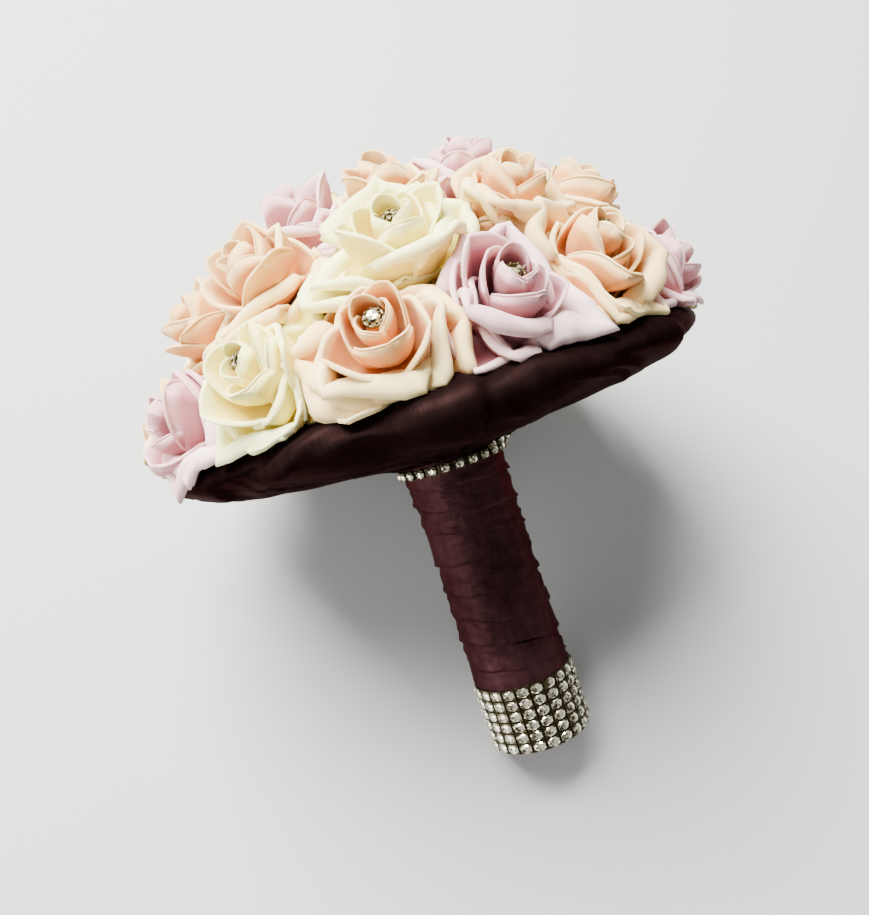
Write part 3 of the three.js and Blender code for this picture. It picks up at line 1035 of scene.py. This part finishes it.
        # The core takes the full colour of the pockets, painted shade.
        batch.add(bloom.outward(core), faces, rim=0.0, depth=1.0, tone=0.3)
        for number, ring in enumerate(self.RINGS):
            for index in range(ring.count):
                surface, thick, rim, depth = self.petal(ring, index, bloom, draw)
                surface = self.droop(self.crowd(surface, normals, far, number), bloom)
                surface = self.settle(surface, bloom, thick / 2 + 0.1)
                points, faces = shell(surface, thick)
                rim, depth = (np.tile(value.ravel(), 2) for value in (rim, depth))
                batch.add(points, faces, rim=rim, depth=depth, tone=float(draw.uniform(0, 1)))
        made = batch.piece(f"foam_rose_{bloom.number}", self.posy.place, [finish])
        declare(made, bloom.tint.value, f"rose_{bloom.number}")


# Crystals and stones


def cut_facets(points: Array, faces: Array, shine: Array) -> tuple[Array, Array, Array]:
    """Gives each triangle its own corners and its own brightness, so that a stone shows its facets as painted
    glints and dark reflections.

    Args:
        points: the stones' points.
        faces: their triangles, with the last corner repeated.
        shine: each triangle's brightness, 0 to 1.

    Returns:
        Points, faces and each point's facet number.
    """
    apart = points[faces[:, :3]].reshape(-1, 3)
    numbers = np.arange(len(apart)).reshape(-1, 3)[:, [0, 1, 2, 2]]
    return apart, numbers, np.repeat(shine, 3)


def brilliant(girdle: float, table: float, low: float, high: float, sides: int) -> tuple[Array, Array]:
    """A round cut stone's crown: a girdle, a ring of breaks turned half a side, and a table.

    Args:
        girdle: its widest radius.
        table: its flat top's radius.
        low: the girdle's height.
        high: the table's height.
        sides: facets round it.

    Returns:
        Points and faces, closed below.
    """
    a, crown = np.arange(sides), 0.62
    waist, rise = girdle * crown + table * (1 - crown), low + (high - low) * crown
    rings = [(girdle, low, 0.0), (waist, rise, 0.5), (table, high, 0.0)]
    body = np.concatenate([polar(r, (a + turn) * 2 * np.pi / sides, z) for r, z, turn in rings])
    points = np.concatenate([body, [[0, 0, low], [0, 0, high]]])
    b = (a + 1) % sides
    mid, mid_b, top, top_b = a + sides, b + sides, a + 2 * sides, b + 2 * sides
    bottom, peak = 3 * sides, 3 * sides + 1
    triangles = [(a, b, mid), (b, mid_b, mid), (mid, mid_b, top_b), (mid, top_b, top)]
    triangles += [(top, top_b, peak), (b, a, bottom)]
    return points, np.concatenate(
        [np.stack(np.broadcast_arrays(*corners, corners[2]), -1) for corners in triangles]
    )


def repeat(points: Array, faces: Array, origins: Array, axes: Array) -> tuple[Array, Array]:
    """Copies of a small part: each copy's points are its origin plus the part's in its own axes.

    Args:
        points: (p, 3) of the part.
        faces: its faces.
        origins: (m, 3) places.
        axes: (m, 3, 3) rows of axes, or (3, 3) for all.

    Returns:
        All points and faces.
    """
    placed = points @ axes + origins[:, None]
    numbers = faces[None] + (np.arange(len(origins)) * len(points))[:, None, None]
    return placed.reshape(-1, 3), numbers.reshape(-1, 4)


@dataclass
class CrystalPins:
    """The round cut crystals pinned in the roses' hearts, each in a gilt cup with small claws."""

    posy: Posy
    seat: float = 25.6
    girdle: float = 3.05
    table: float = 1.75
    rise: float = 2.8
    claws: int = 8
    claw_radius: float = 3.15

    CUP = ((0, 0), (2.8, 0), (3.55, 0.5), (3.7, 1.1), (3.4, 1.5), (3.0, 1.3), (0, 1.2))
    CLAW = ((0, -0.6), (0.42, -0.3), (0.46, 0.3), (0.25, 0.5), (0, 0.55))

    def build(self, blooms: list[Bloom], finishes: list[bpy.types.Material]) -> None:
        """Builds all the pins as one piece.

        Args:
            blooms: the roses that carry them.
            finishes: the crystals' and the cups' materials.
        """
        draw = np.random.RandomState(41)
        batch = Batch()
        origins = np.array([bloom.middle(self.seat) for bloom in blooms])
        axes = np.array([bloom.axes for bloom in blooms])
        cup, cup_faces = lathe(self.CUP, 28)
        # The cups' middling facet number paints them half in shade; the claws' high one leaves them plated.
        batch.add(*repeat(cup, cup_faces, origins, axes), slot=1, facet=0.45)
        claw, claw_faces = lathe(self.CLAW, 8)
        spots = polar(self.claw_radius, np.arange(self.claws) / self.claws * 2 * np.pi, 1.5)
        batch.add(*repeat(*repeat(claw, claw_faces, spots, np.eye(3)), origins, axes), slot=1, facet=0.9)
        stone, stone_faces = brilliant(self.girdle, self.table, 1.15, self.rise, 12)
        # Painted glints and dark reflections: a brightness for each facet, most of them dim.
        shine = draw.uniform(0, 1, len(blooms) * len(stone_faces)) ** 1.5
        points, faces, facet = cut_facets(*repeat(stone, stone_faces, origins, axes), shine)
        batch.add(points, faces, smooth=False, facet=facet)
        made = batch.piece("crystal_pins", self.posy.place, finishes)
        declare(made, "crystal", *[f"crystal_{bloom.number}" for bloom in blooms])


class Cut(Enum):
    """The bands' stones."""

    SQUARE = "square"
    ROUND = "round"


@dataclass
class StoneMesh:
    """Cut stones in gilt cups: a mesh of square ones at the handle's foot and a row of round ones above."""

    posy: Posy
    pitch: float = 4.8
    columns: int = 22
    row_columns: int = 25
    rows: int = 6
    wide: float = 1.25
    band_radius: float = 20.9
    foot: float = -127.8
    row_radius: float = 22.8
    row_top: float = -0.4
    cup_half: float = 2.25
    square_half: float = 2.05
    round_half: float = 1.95
    round_cup: float = 2.1
    proud: float = 1.4
    lapped: int = 5
    lap_azimuth: float = 33.0
    lap_step: float = 12.2
    lap_out: float = 3.4
    lap_up: float = 4.2
    sunk: float = 0.45
    sleeve_sides: int = 112
    sleeve_rows: int = 25
    sleeve_wave: float = 0.12
    sleeve_thick: float = 0.4

    def stone(self, cut: Cut) -> tuple[Array, Array]:
        """One stone; a square one's rings have their radius times max(|cos|, |sin|) ^ -0.9 of the angle.

        Args:
            cut: its shape.

        Returns:
            Points and faces.
        """
        if cut is Cut.ROUND:
            return brilliant(self.round_half, 1.0, 0.5, self.proud + 0.2, 10)
        points, faces = brilliant(1.0, 0.5, 0.55, self.proud, 8)
        angles = np.arange(8) * np.pi / 4 + np.pi / 8
        squared = np.maximum(np.abs(np.cos(angles)), np.abs(np.sin(angles))) ** -0.9
        scale = np.concatenate([np.tile(squared, 3) * self.square_half, [1, 1]])
        cos, sin = math.cos(np.pi / 8), math.sin(np.pi / 8)
        x, y = points[:, 0] * cos - points[:, 1] * sin, points[:, 0] * sin + points[:, 1] * cos
        return np.stack([x * scale * self.wide, y * scale, points[:, 2]], -1), faces

    @staticmethod
    def shine(points: Array, faces: Array, copies: int, draw: np.random.RandomState) -> Array:
        """Facets' brightness: a glint on each stone's right side, a dim table, and half of it by chance.

        Args:
            points: one stone's points.
            faces: its faces.
            copies: how many stones.
            draw: random numbers.

        Returns:
            One number for each face of all the stones.
        """
        middle = points[faces[:, :3]].mean(1)
        middle = middle / np.abs(middle).max(0)
        side = np.clip(0.25 + 0.9 * middle[:, 0] + 0.25 * middle[:, 1], 0, 1)
        return (0.6 * np.tile(side, copies) + 0.6 * draw.uniform(0, 1, copies * len(faces))).clip(0, 1)

    def cup(self, cut: Cut) -> tuple[Array, Array]:
        """One cup, a low frustum with a rim: a lathe of 12 sides, or of four turned 45 degrees.

        Args:
            cut: its stone's shape.

        Returns:
            Points and faces.
        """
        square = (4, math.pi / 4, self.cup_half * math.sqrt(2), self.wide)
        sides, turn, half, wide = (12, 0.0, self.round_cup, 1.0) if cut is Cut.ROUND else square
        profile = ((0, -0.5), (half, -0.5), (half, 0.3), (half * 0.95, 0.55), (half * 0.85, 0.5), (0, 0.4))
        points, faces = lathe(profile, sides, turn)
        return points * [wide, 1, 1], faces

    def claws(self) -> tuple[Array, Array]:
        """The four claws that hold a round stone, at the corners of its cup.

        Returns:
            Points and faces.
        """
        claw, faces = lathe(((0, -0.2), (0.42, 0.0), (0.4, 0.6), (0.2, 0.85), (0, 0.9)), 6)
        spots = polar(self.round_half, np.pi / 4 + np.arange(4) * np.pi / 2, 0.3)
        return repeat(claw, faces, spots, np.eye(3))

    @staticmethod
    def spots(angles: Array, heights: Array, radius: Any) -> tuple[Array, Array]:
        """Places on a cylinder and their axes: round it, up it and out of it.

        Args:
            angles: each place's angle.
            heights: its height.
            radius: its distance from the axis.

        Returns:
            (m, 3) origins and (m, 3, 3) axes.
        """
        out, round_it = polar(1.0, angles, 0.0), polar(1.0, angles + np.pi / 2, 0.0)
        up = np.broadcast_to([0.0, 0.0, 1.0], out.shape)
        return polar(radius, angles, heights), np.stack([round_it, up, out], 1)

    def band(
        self, name: str, node: str, cut: Cut, origins: Array, axes: Array, sleeve: tuple[float, float, float],
        finishes: list[bpy.types.Material],
    ) -> None:
        """Builds a band of stones with its cups and backing.

        Args:
            name: the piece's name.
            node: the solid that it stands for.
            cut: the stones' shape.
            origins: where the cups stand.
            axes: their axes.
            sleeve: the backing's radius, and its lowest and highest height.
            finishes: the stones' and the cups' materials.
        """
        draw = np.random.RandomState(len(origins))
        batch = Batch()
        # The facet numbers paint shade: dark on the cups between the stones, light on the claws.
        batch.add(*repeat(*self.cup(cut), origins, axes), slot=1, smooth=False, facet=0.15)
        if cut is Cut.ROUND:
            batch.add(*repeat(*self.claws(), origins, axes), slot=1, facet=0.8)
        shine = self.shine(*self.stone(cut), len(origins), draw)
        stones, stone_faces, facet = cut_facets(*repeat(*self.stone(cut), origins, axes), shine)
        batch.add(stones, stone_faces, smooth=False, facet=facet)
        turn = np.arange(self.sleeve_sides) / self.sleeve_sides * 2 * np.pi
        height = np.linspace(sleeve[1], sleeve[2], self.sleeve_rows)[:, None]
        radius = sleeve[0] + self.sleeve_wave * np.cos(self.columns * turn) + 0 * height
        wall = np.array([[self.sleeve_thick]])
        # The backing takes the full recess shade, painted shade in the gaps between the cups.
        batch.add(*shell(polar(radius, turn, height), wall, True), slot=1, facet=0.0)
        declare(batch.piece(name, self.posy.rested, finishes), "set_stones", node)

    def build(self, finishes: list[bpy.types.Material]) -> None:
        """Builds the mesh at the foot, and the row at the neck with its end lapped over its start.

        Args:
            finishes: the stones' and the cups' materials.
        """
        step = 2 * np.pi / self.columns
        column, row = np.meshgrid(np.arange(self.columns), np.arange(self.rows))
        angles, heights = (column.ravel() + 0.5) * step, self.foot + (row.ravel() + 0.5) * self.pitch
        top = self.foot + self.rows * self.pitch
        sleeve = (self.band_radius - self.sunk, self.foot, top)
        spots = self.spots(angles, heights, self.band_radius)
        self.band("stone_mesh", "stone_mesh_band", Cut.SQUARE, *spots, sleeve, finishes)
        lap = np.radians(self.lap_azimuth - 90 + self.lap_step * np.arange(self.lapped))
        start = (np.arange(self.row_columns) + 0.5) * 2 * np.pi / self.row_columns
        angles = np.concatenate([start, lap])
        climb = np.linspace(0.7, 1, self.lapped)
        heights = self.row_top - self.pitch / 2 + np.concatenate([0 * start, self.lap_up * climb])
        radius = self.row_radius + np.concatenate([0 * start, self.lap_out * climb])
        low, high = (self.row_top - share * self.pitch for share in (0.85, 0.15))
        sleeve = (self.row_radius - self.sunk, low, high)
        spots = self.spots(angles, heights, radius)
        self.band("neck_stones", "neck_stone_row", Cut.ROUND, *spots, sleeve, finishes)


# Satin


def cloth_map(across: Array, along: Array) -> Array:
    """Cloth coordinates of a shell's two sides, from numbers on the grid of its sheet."""
    return np.tile(np.stack(np.broadcast_arrays(across, along), -1).reshape(-1, 2), (2, 1))


@dataclass(frozen=True)
class Fold:
    """A fold of the collar.

    Its azimuth and half width in degrees, its place along the section and its spread along it, how far it
    stands out, its slant in degrees per millimetre, and whether it laps over.
    """

    azimuth: float
    width: float
    way: float
    spread: float
    depth: float
    slant: float
    laps: bool


@dataclass
class SatinCollar:
    """The satin gathered at the neck, spread under the blooms and turned in behind their lower petals."""

    posy: Posy
    thick: float = 0.5
    columns: int = 480
    rows: int = 66
    fold_count: int = 9
    fold_depth: float = 1.1
    creases: int = 110
    clear: float = 1.9
    neck: float = 21.4
    neck_reach: float = 30.0
    cloth_radius: float = 1.11
    section: Profile = (
        (21.7, 0.5), (24.5, 1.2), (33, 4.2), (62, 8.0), (84, 12.2), (100, 17.2), (110.6, 22.6), (109.4, 27.2),
        (103.5, 30.6), (94, 32.0), (84, 30.6),
    )
    folds: tuple[Fold, ...] = (
        Fold(-8.5, 6.5, 88, 30, 4.2, 0, False), Fold(-20.5, 5, 92, 15, -4.6, 0, False),
        Fold(-1.6, 4.5, 86, 26, 2.2, 0.02, True), Fold(-38, 6, 90, 16, 2.4, 0.9, True),
        Fold(-44, 4, 95, 9, -2.0, 0.9, False), Fold(3, 4, 88, 16, 1.5, -0.3, True),
        Fold(22, 7, 92, 17, 2.2, -1.1, True), Fold(30, 4.5, 80, 17, 1.7, -1.0, True),
        Fold(-60, 7, 86, 16, 2.0, 0.5, True), Fold(48, 8, 88, 18, 2.0, -0.6, True),
        Fold(66, 6, 84, 20, 1.8, 0.4, True), Fold(-82, 8, 84, 20, 1.8, -0.4, True),
        Fold(90, 7, 80, 24, 1.9, 0.5, True), Fold(118, 8, 82, 20, -2.0, 0.3, False),
        Fold(140, 7, 78, 22, 1.8, -0.5, True), Fold(168, 9, 84, 20, -2.0, 0.4, False),
        Fold(196, 7, 80, 22, 1.8, 0.5, True), Fold(222, 9, 84, 20, 2.0, -0.4, True),
        Fold(250, 7, 80, 20, 1.8, 0.4, True),
    )

    def path(self) -> tuple[Array, Array]:
        """The section as evenly spaced points, its corners rounded by a running mean over 7 mm.

        Returns:
            (rows, 2) radius and height, and the way along it in millimetres.
        """
        knots = np.array(self.section)
        way = np.concatenate([[0], np.cumsum(np.hypot(*np.diff(knots, axis=0).T))])
        fine = np.linspace(0, way[-1], 800)
        line = np.stack([np.interp(fine, way, knots[:, k]) for k in (0, 1)], -1)
        width = int(len(fine) * 7 / way[-1]) | 1
        padded = np.pad(line, ((width // 2, width // 2), (0, 0)), "edge")
        line = np.stack([np.convolve(padded[:, k], np.ones(width) / width, "valid") for k in (0, 1)], -1)
        at = np.linspace(0, way[-1], self.rows)
        return np.stack([np.interp(at, fine, line[:, k]) for k in (0, 1)], -1), at

    def spread(self, radius: Array) -> Array:
        """0 at the neck, rising evenly to 1 where the satin lies free of it."""
        return np.clip((radius - self.neck) / self.neck_reach, 0, 1)

    def wrinkles(self) -> list[Fold]:
        """Draws the small creases between the listed folds.

        Returns:
            The creases, each a small fold.
        """
        draw = np.random.RandomState(23)
        low, high = (-180, 1.6, 14, 6, 0.25, -1.1), (180, 5.5, 104, 20, 0.8, 1.1)
        return [Fold(*draw.uniform(low, high), bool(draw.uniform() < 0.75)) for _ in range(self.creases)]

    def relief(self, angle: Array, radius: Array, way: Array) -> Array:
        """How far the satin stands out from the section.

        Broad folds are a cosine of nine times the angle that grows from the neck out; gathers are finer
        cosines that die away from the neck; a fold is a bell along the way, and across it a bell or a lap,
        which rises slowly on one side and drops at once on the other; the edge that is turned in is ruffled.

        Args:
            angle: angle from +X, in radians.
            radius: distance from the axis.
            way: the way along the section from the neck.

        Returns:
            The relief in millimetres.
        """
        rise = self.fold_depth * self.spread(radius) * np.cos(self.fold_count * angle)
        near = np.exp(-(((radius - 26) / 17) ** 2)) * np.clip((radius - 21) / 4, 0, 1)
        rise = rise + near * (0.9 * np.cos(23 * angle + 0.7) + 0.6 * np.cos(37 * angle + 2 + 0.05 * radius))
        azimuth = np.degrees(angle) + 90
        for fold in (*self.folds, *self.wrinkles()):
            bend = fold.slant * (way - fold.way) + 1.5 * np.sin(way / 13 + fold.azimuth)
            off = ((azimuth - fold.azimuth - bend + 180) % 360 - 180) / fold.width
            lap = smooth_step(-1.6, 0, off) * (1 - smooth_step(0, 0.4, off))
            across = lap if fold.laps else np.exp(-(off**2))
            rise = rise + fold.depth * across * np.exp(-(((way - fold.way) / fold.spread) ** 2))
        ruffle = np.clip((way - 98) / 18, 0, 1)
        return rise + ruffle * (0.7 * np.cos(31 * angle + 0.4) + 0.5 * np.cos(47 * angle + 1.9))

    def build(self, satin: bpy.types.Material) -> None:
        """Builds the collar, pressed in where it would meet the surface that the posy lies on.

        Args:
            satin: its finish.
        """
        section, way = self.path()
        angle = (np.arange(self.columns) / self.columns * 2 * np.pi)[None, :]
        radius, height = section[:, :1], section[:, 1:]
        up = self.posy.turned()[2]
        slope = up[1] * np.sin(angle)
        room = self.clear - self.posy.neck_rise - height * up[2]
        room = room / np.where(slope < -1e-6, slope * radius, -1e-6)
        reach = np.minimum(1, np.where(slope < -1e-6, room, 1).min(0, keepdims=True))
        shortened = radius * (1 + (reach - 1) * self.spread(radius))
        slope = np.gradient(section, axis=0)
        slope = slope / np.linalg.norm(slope, axis=1, keepdims=True)
        rise = self.relief(angle, radius, way[:, None]) * np.clip(way[:, None] / 4, 0, 1)
        across, height = shortened + rise * slope[:, 1:], height - rise * slope[:, :1]
        sheet = polar(across, angle, height)
        sheet = sheet + np.maximum(0, 0.5 - self.posy.depth(sheet))[..., None] * up
        points, faces = shell(sheet, np.array([[self.thick]]), True)
        uv = cloth_map(way[:, None] / 100, angle * self.cloth_radius)
        made = make_piece("gathered_collar", self.posy.place(points), faces, [satin], {}, uv=uv)
        declare(made, "satin", "satin_collar")


@dataclass
class BoundHandle:
    """The satin ribbon wound down the handle, each turn lapped over the next, and the cap at its foot."""

    posy: Posy
    neck_radius: float = 21.4
    waist_radius: float = 20.2
    foot_radius: float = 20.6
    length: float = 128
    pitch: float = 11.6
    width: float = 22.0
    thick: float = 0.35
    per_turn: int = 90
    rows: int = 14
    mesh_height: float = 31.0
    wound_radius: float = 0.0212
    cap_sides: int = 108
    cap_rows: int = 16
    cap_pleats: int = 18
    cap_thick: float = 0.3

    CREASES = ((1.3, 8.0), (2.1, -10.0), (3.7, 14.0), (2.9, -17.0))

    def radius_at(self, height: Array) -> Array:
        """The handle's radius: two parabolas that meet at the waist, 55% of the way to its foot.

        Args:
            height: height along the axis, 0 at the neck.

        Returns:
            The radius there.
        """
        t, waist = np.clip(-height / (self.length - 30), 0, 1), 0.55
        end = np.where(t < waist, self.neck_radius, self.foot_radius)
        share = np.where(t < waist, 1 - t / waist, (t - waist) / (1 - waist))
        return self.waist_radius + (end - self.waist_radius) * share**2

    def build(self, satin: bpy.types.Material) -> None:
        """Winds the ribbon as a helical strip, and closes the foot with a pleated round.

        Along the strip the angle grows steadily and the height falls by the pitch each turn. Across it, v
        runs from the lower edge, which lies on top, to the upper edge under the turn above. Creases are sines
        of the angle and v that lean across the strip; under the stone mesh it lies flat.

        Args:
            satin: the ribbon's finish.
        """
        draw = np.random.RandomState(7)
        turns = self.length / self.pitch + 0.4
        count = int(turns * self.per_turn)
        angle = np.linspace(0, turns * 2 * np.pi, count)[:, None]
        v = np.linspace(0, 1, self.rows)[None, :]
        phase = draw.uniform(0, 2 * np.pi, 8)
        sway = 1.5 * np.sin(angle * 0.83 + phase[0]) + 1.0 * np.sin(angle * 1.71 + phase[1])
        frill = 0.35 * np.sin(angle * 5.3 + phase[2]) * (1 - v)
        height = -self.pitch * angle / (2 * np.pi) - 2.0 + sway + frill + self.width * v
        height = np.clip(height, -self.length + 0.5, -0.1)
        lap = 0.55 - 1.15 * v
        crease = 0.0 * angle * v
        for k, (fast, lean) in enumerate(self.CREASES):
            swell = np.maximum(0, np.sin(angle * (0.37 + 0.21 * k) + phase[k + 2])) ** 1.5
            wave = np.sin(angle * fast + lean * v + phase[k + 4])
            crease = crease + 0.6 * swell * (1 - 2 * np.abs(wave) ** 0.7)
        edge = 0.45 * np.exp(-((v / 0.06) ** 2))
        under = height < -self.length + self.mesh_height
        radius = self.radius_at(height) + np.where(under, lap * 0.4 - 0.3, lap + crease + edge)
        points, faces = shell(polar(radius, angle, height)[:, ::-1], np.array([[self.thick]]))
        uv = cloth_map(v[:, ::-1] * self.width / 100, angle * 0.21)
        ribbon = make_piece("wound_ribbon", self.posy.place(points), faces, [satin], {}, uv=uv)
        declare(ribbon, "satin_ribbon", "ribbon_binding")
        self.width / 1000
        self.cap(satin)

    def cap(self, satin: bpy.types.Material) -> None:
        """Builds the round over the handle's foot: its pleats are a cosine of the angle that fades inward.

        Args:
            satin: its finish.
        """
        angle = (np.arange(self.cap_sides) / self.cap_sides * 2 * np.pi)[None, :]
        radius = np.concatenate([np.linspace(0.2, 19.2, self.cap_rows), [19.9, 20.3, 20.3]])[:, None]
        height = -self.length + np.concatenate([np.full(self.cap_rows, 0.45), [0.6, 1.1, 3.0]])[:, None]
        pleat = 0.3 * np.cos(self.cap_pleats * angle + 0.2 * radius) * np.clip(radius / 8, 0, 1)
        sheet = polar(radius, angle, height + pleat * (height < -self.length + 0.5))
        points, faces = shell(sheet, np.array([[self.cap_thick]]), True)
        uv = cloth_map(sheet[..., 0] / 100, sheet[..., 1] / 100)
        made = make_piece("foot_cap", self.posy.place(points), faces, [satin], {}, uv=uv)
        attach(made, "root")


# The surface, light and camera


@dataclass
class Studio:
    """The pale surface, a large soft light, a low fill, and the camera at the photograph's angle."""

    posy: Posy
    azimuth: float = -8.0
    elevation: float = 6.33
    distance: float = 399.4
    target: tuple[float, float] = (-6.89, -0.03)
    roll: float = 18.37
    focal: float = 950.0
    image: tuple[int, int] = (869, 915)
    ambient: float = 0.5
    key_power: float = 105.0
    key_place: tuple[float, float, float] = (-0.2, 0.62, 1.1)
    key_size: float = 0.85
    fill_power: float = 24.0
    fill_place: tuple[float, float, float] = (-1.4, -0.15, 0.5)
    fill_size: float = 1.2
    aim_height: float = 0.08
    sensor: float = 36.0
    floor_half: float = 3.0

    def floor(self, finish: bpy.types.Material) -> None:
        """Lays the surface, a flat square at z = 0."""
        corners = np.array([[-1, -1, 0], [1, -1, 0], [1, 1, 0], [-1, 1, 0]]) * self.floor_half
        make_piece("surface", corners, np.array([[0, 1, 2, 3]]), [finish], {})

    def light(self, name: str, power: float, place: tuple[float, float, float], size: float) -> None:
        """Adds a square area light that faces the posy.

        Args:
            name: its name.
            power: its power in watts.
            place: where it stands, in metres.
            size: its side.
        """
        lamp = bpy.data.lights.new(name, "AREA")
        lamp.energy, lamp.size = power, size
        made = bpy.data.objects.new(name, lamp)
        back = np.array(place) - np.array([0.0, 0.0, self.aim_height])
        made.matrix_world = Matrix.Translation(place) @ self.facing(back)
        bpy.context.scene.collection.objects.link(made)

    @staticmethod
    def facing(back: Array) -> Matrix:
        """A rotation whose +Z points along back, with its X level.

        Args:
            back: the way it faces away from.

        Returns:
            The rotation.
        """
        z = back / np.linalg.norm(back)
        x = np.cross([0, 0, 1], z)
        x = x / np.linalg.norm(x)
        return Matrix(np.stack([x, np.cross(z, x), z], 1).tolist()).to_4x4()

    def sky(self) -> None:
        """Sets an even pale surround."""
        world = bpy.data.worlds.new("surround")
        world.use_nodes = True
        shade = world.node_tree.nodes["Background"]
        shade.inputs[0].default_value = (0.97, 0.98, 1.0, 1.0)
        shade.inputs[1].default_value = self.ambient
        bpy.context.scene.world = world

    def camera(self) -> None:
        """Places the camera: its back, up and right are turned by the roll, then laid down with the posy."""
        a, e, r = (math.radians(x) for x in (self.azimuth, self.elevation, self.roll))
        spin = np.array([[math.cos(a), -math.sin(a), 0], [math.sin(a), math.cos(a), 0], [0, 0, 1]])
        back, right = np.array([0, -math.cos(e), math.sin(e)]), np.array([1.0, 0, 0])
        up = np.array([0, math.sin(e), math.cos(e)])
        eye = spin @ (np.array([self.target[0], 0, self.target[1]]) + self.distance * back)
        right, up = math.cos(r) * right - math.sin(r) * up, math.sin(r) * right + math.cos(r) * up
        axes = self.posy.turned() @ spin @ np.stack([right, up, back], 1)
        lens = bpy.data.cameras.new("camera")
        lens.sensor_width, lens.sensor_fit = self.sensor, "AUTO"
        lens.lens = self.focal / max(self.image) * self.sensor
        lens.clip_start, lens.clip_end = 0.01, 20.0
        made = bpy.data.objects.new("camera", lens)
        made.matrix_world = Matrix.Translation(self.posy.place(eye).tolist()) @ Matrix(axes.tolist()).to_4x4()
        bpy.context.scene.collection.objects.link(made)
        bpy.context.scene.camera = made

    def build(self, finish: bpy.types.Material) -> None:
        """Builds the surface, lights and camera.

        Args:
            finish: the surface's finish.
        """
        self.floor(finish)
        self.light("window", self.key_power, self.key_place, self.key_size)
        self.light("fill", self.fill_power, self.fill_place, self.fill_size)
        self.sky()
        self.camera()


# Assembly


def main() -> None:
    """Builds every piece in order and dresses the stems."""
    logging.basicConfig(level=logging.INFO, format="%(name)s: %(message)s")
    posy = Posy()
    Studio(posy).build(PALE_PAPER.material())
    foams = {tint: finish.material() for tint, finish in FOAMS.items()}
    blooms = posy.blooms()
    roses = RoseBuilder(posy)
    for bloom in blooms:
        roses.build(bloom, blooms, foams[bloom.tint])
    gilt = GILT.material()
    CrystalPins(posy).build(blooms, [PIN_STONE.material(), gilt])
    StoneMesh(posy).build([CUT_STONE.material(), gilt])
    SatinCollar(posy).build(COLLAR_SATIN.material())
    BoundHandle(posy).build(RIBBON_SATIN.material())
    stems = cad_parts["stem_bundle"]
    stems.data.materials.clear()
    stems.data.materials.append(STEM_PAPER.material())


if __name__ == "__main__":
    main()
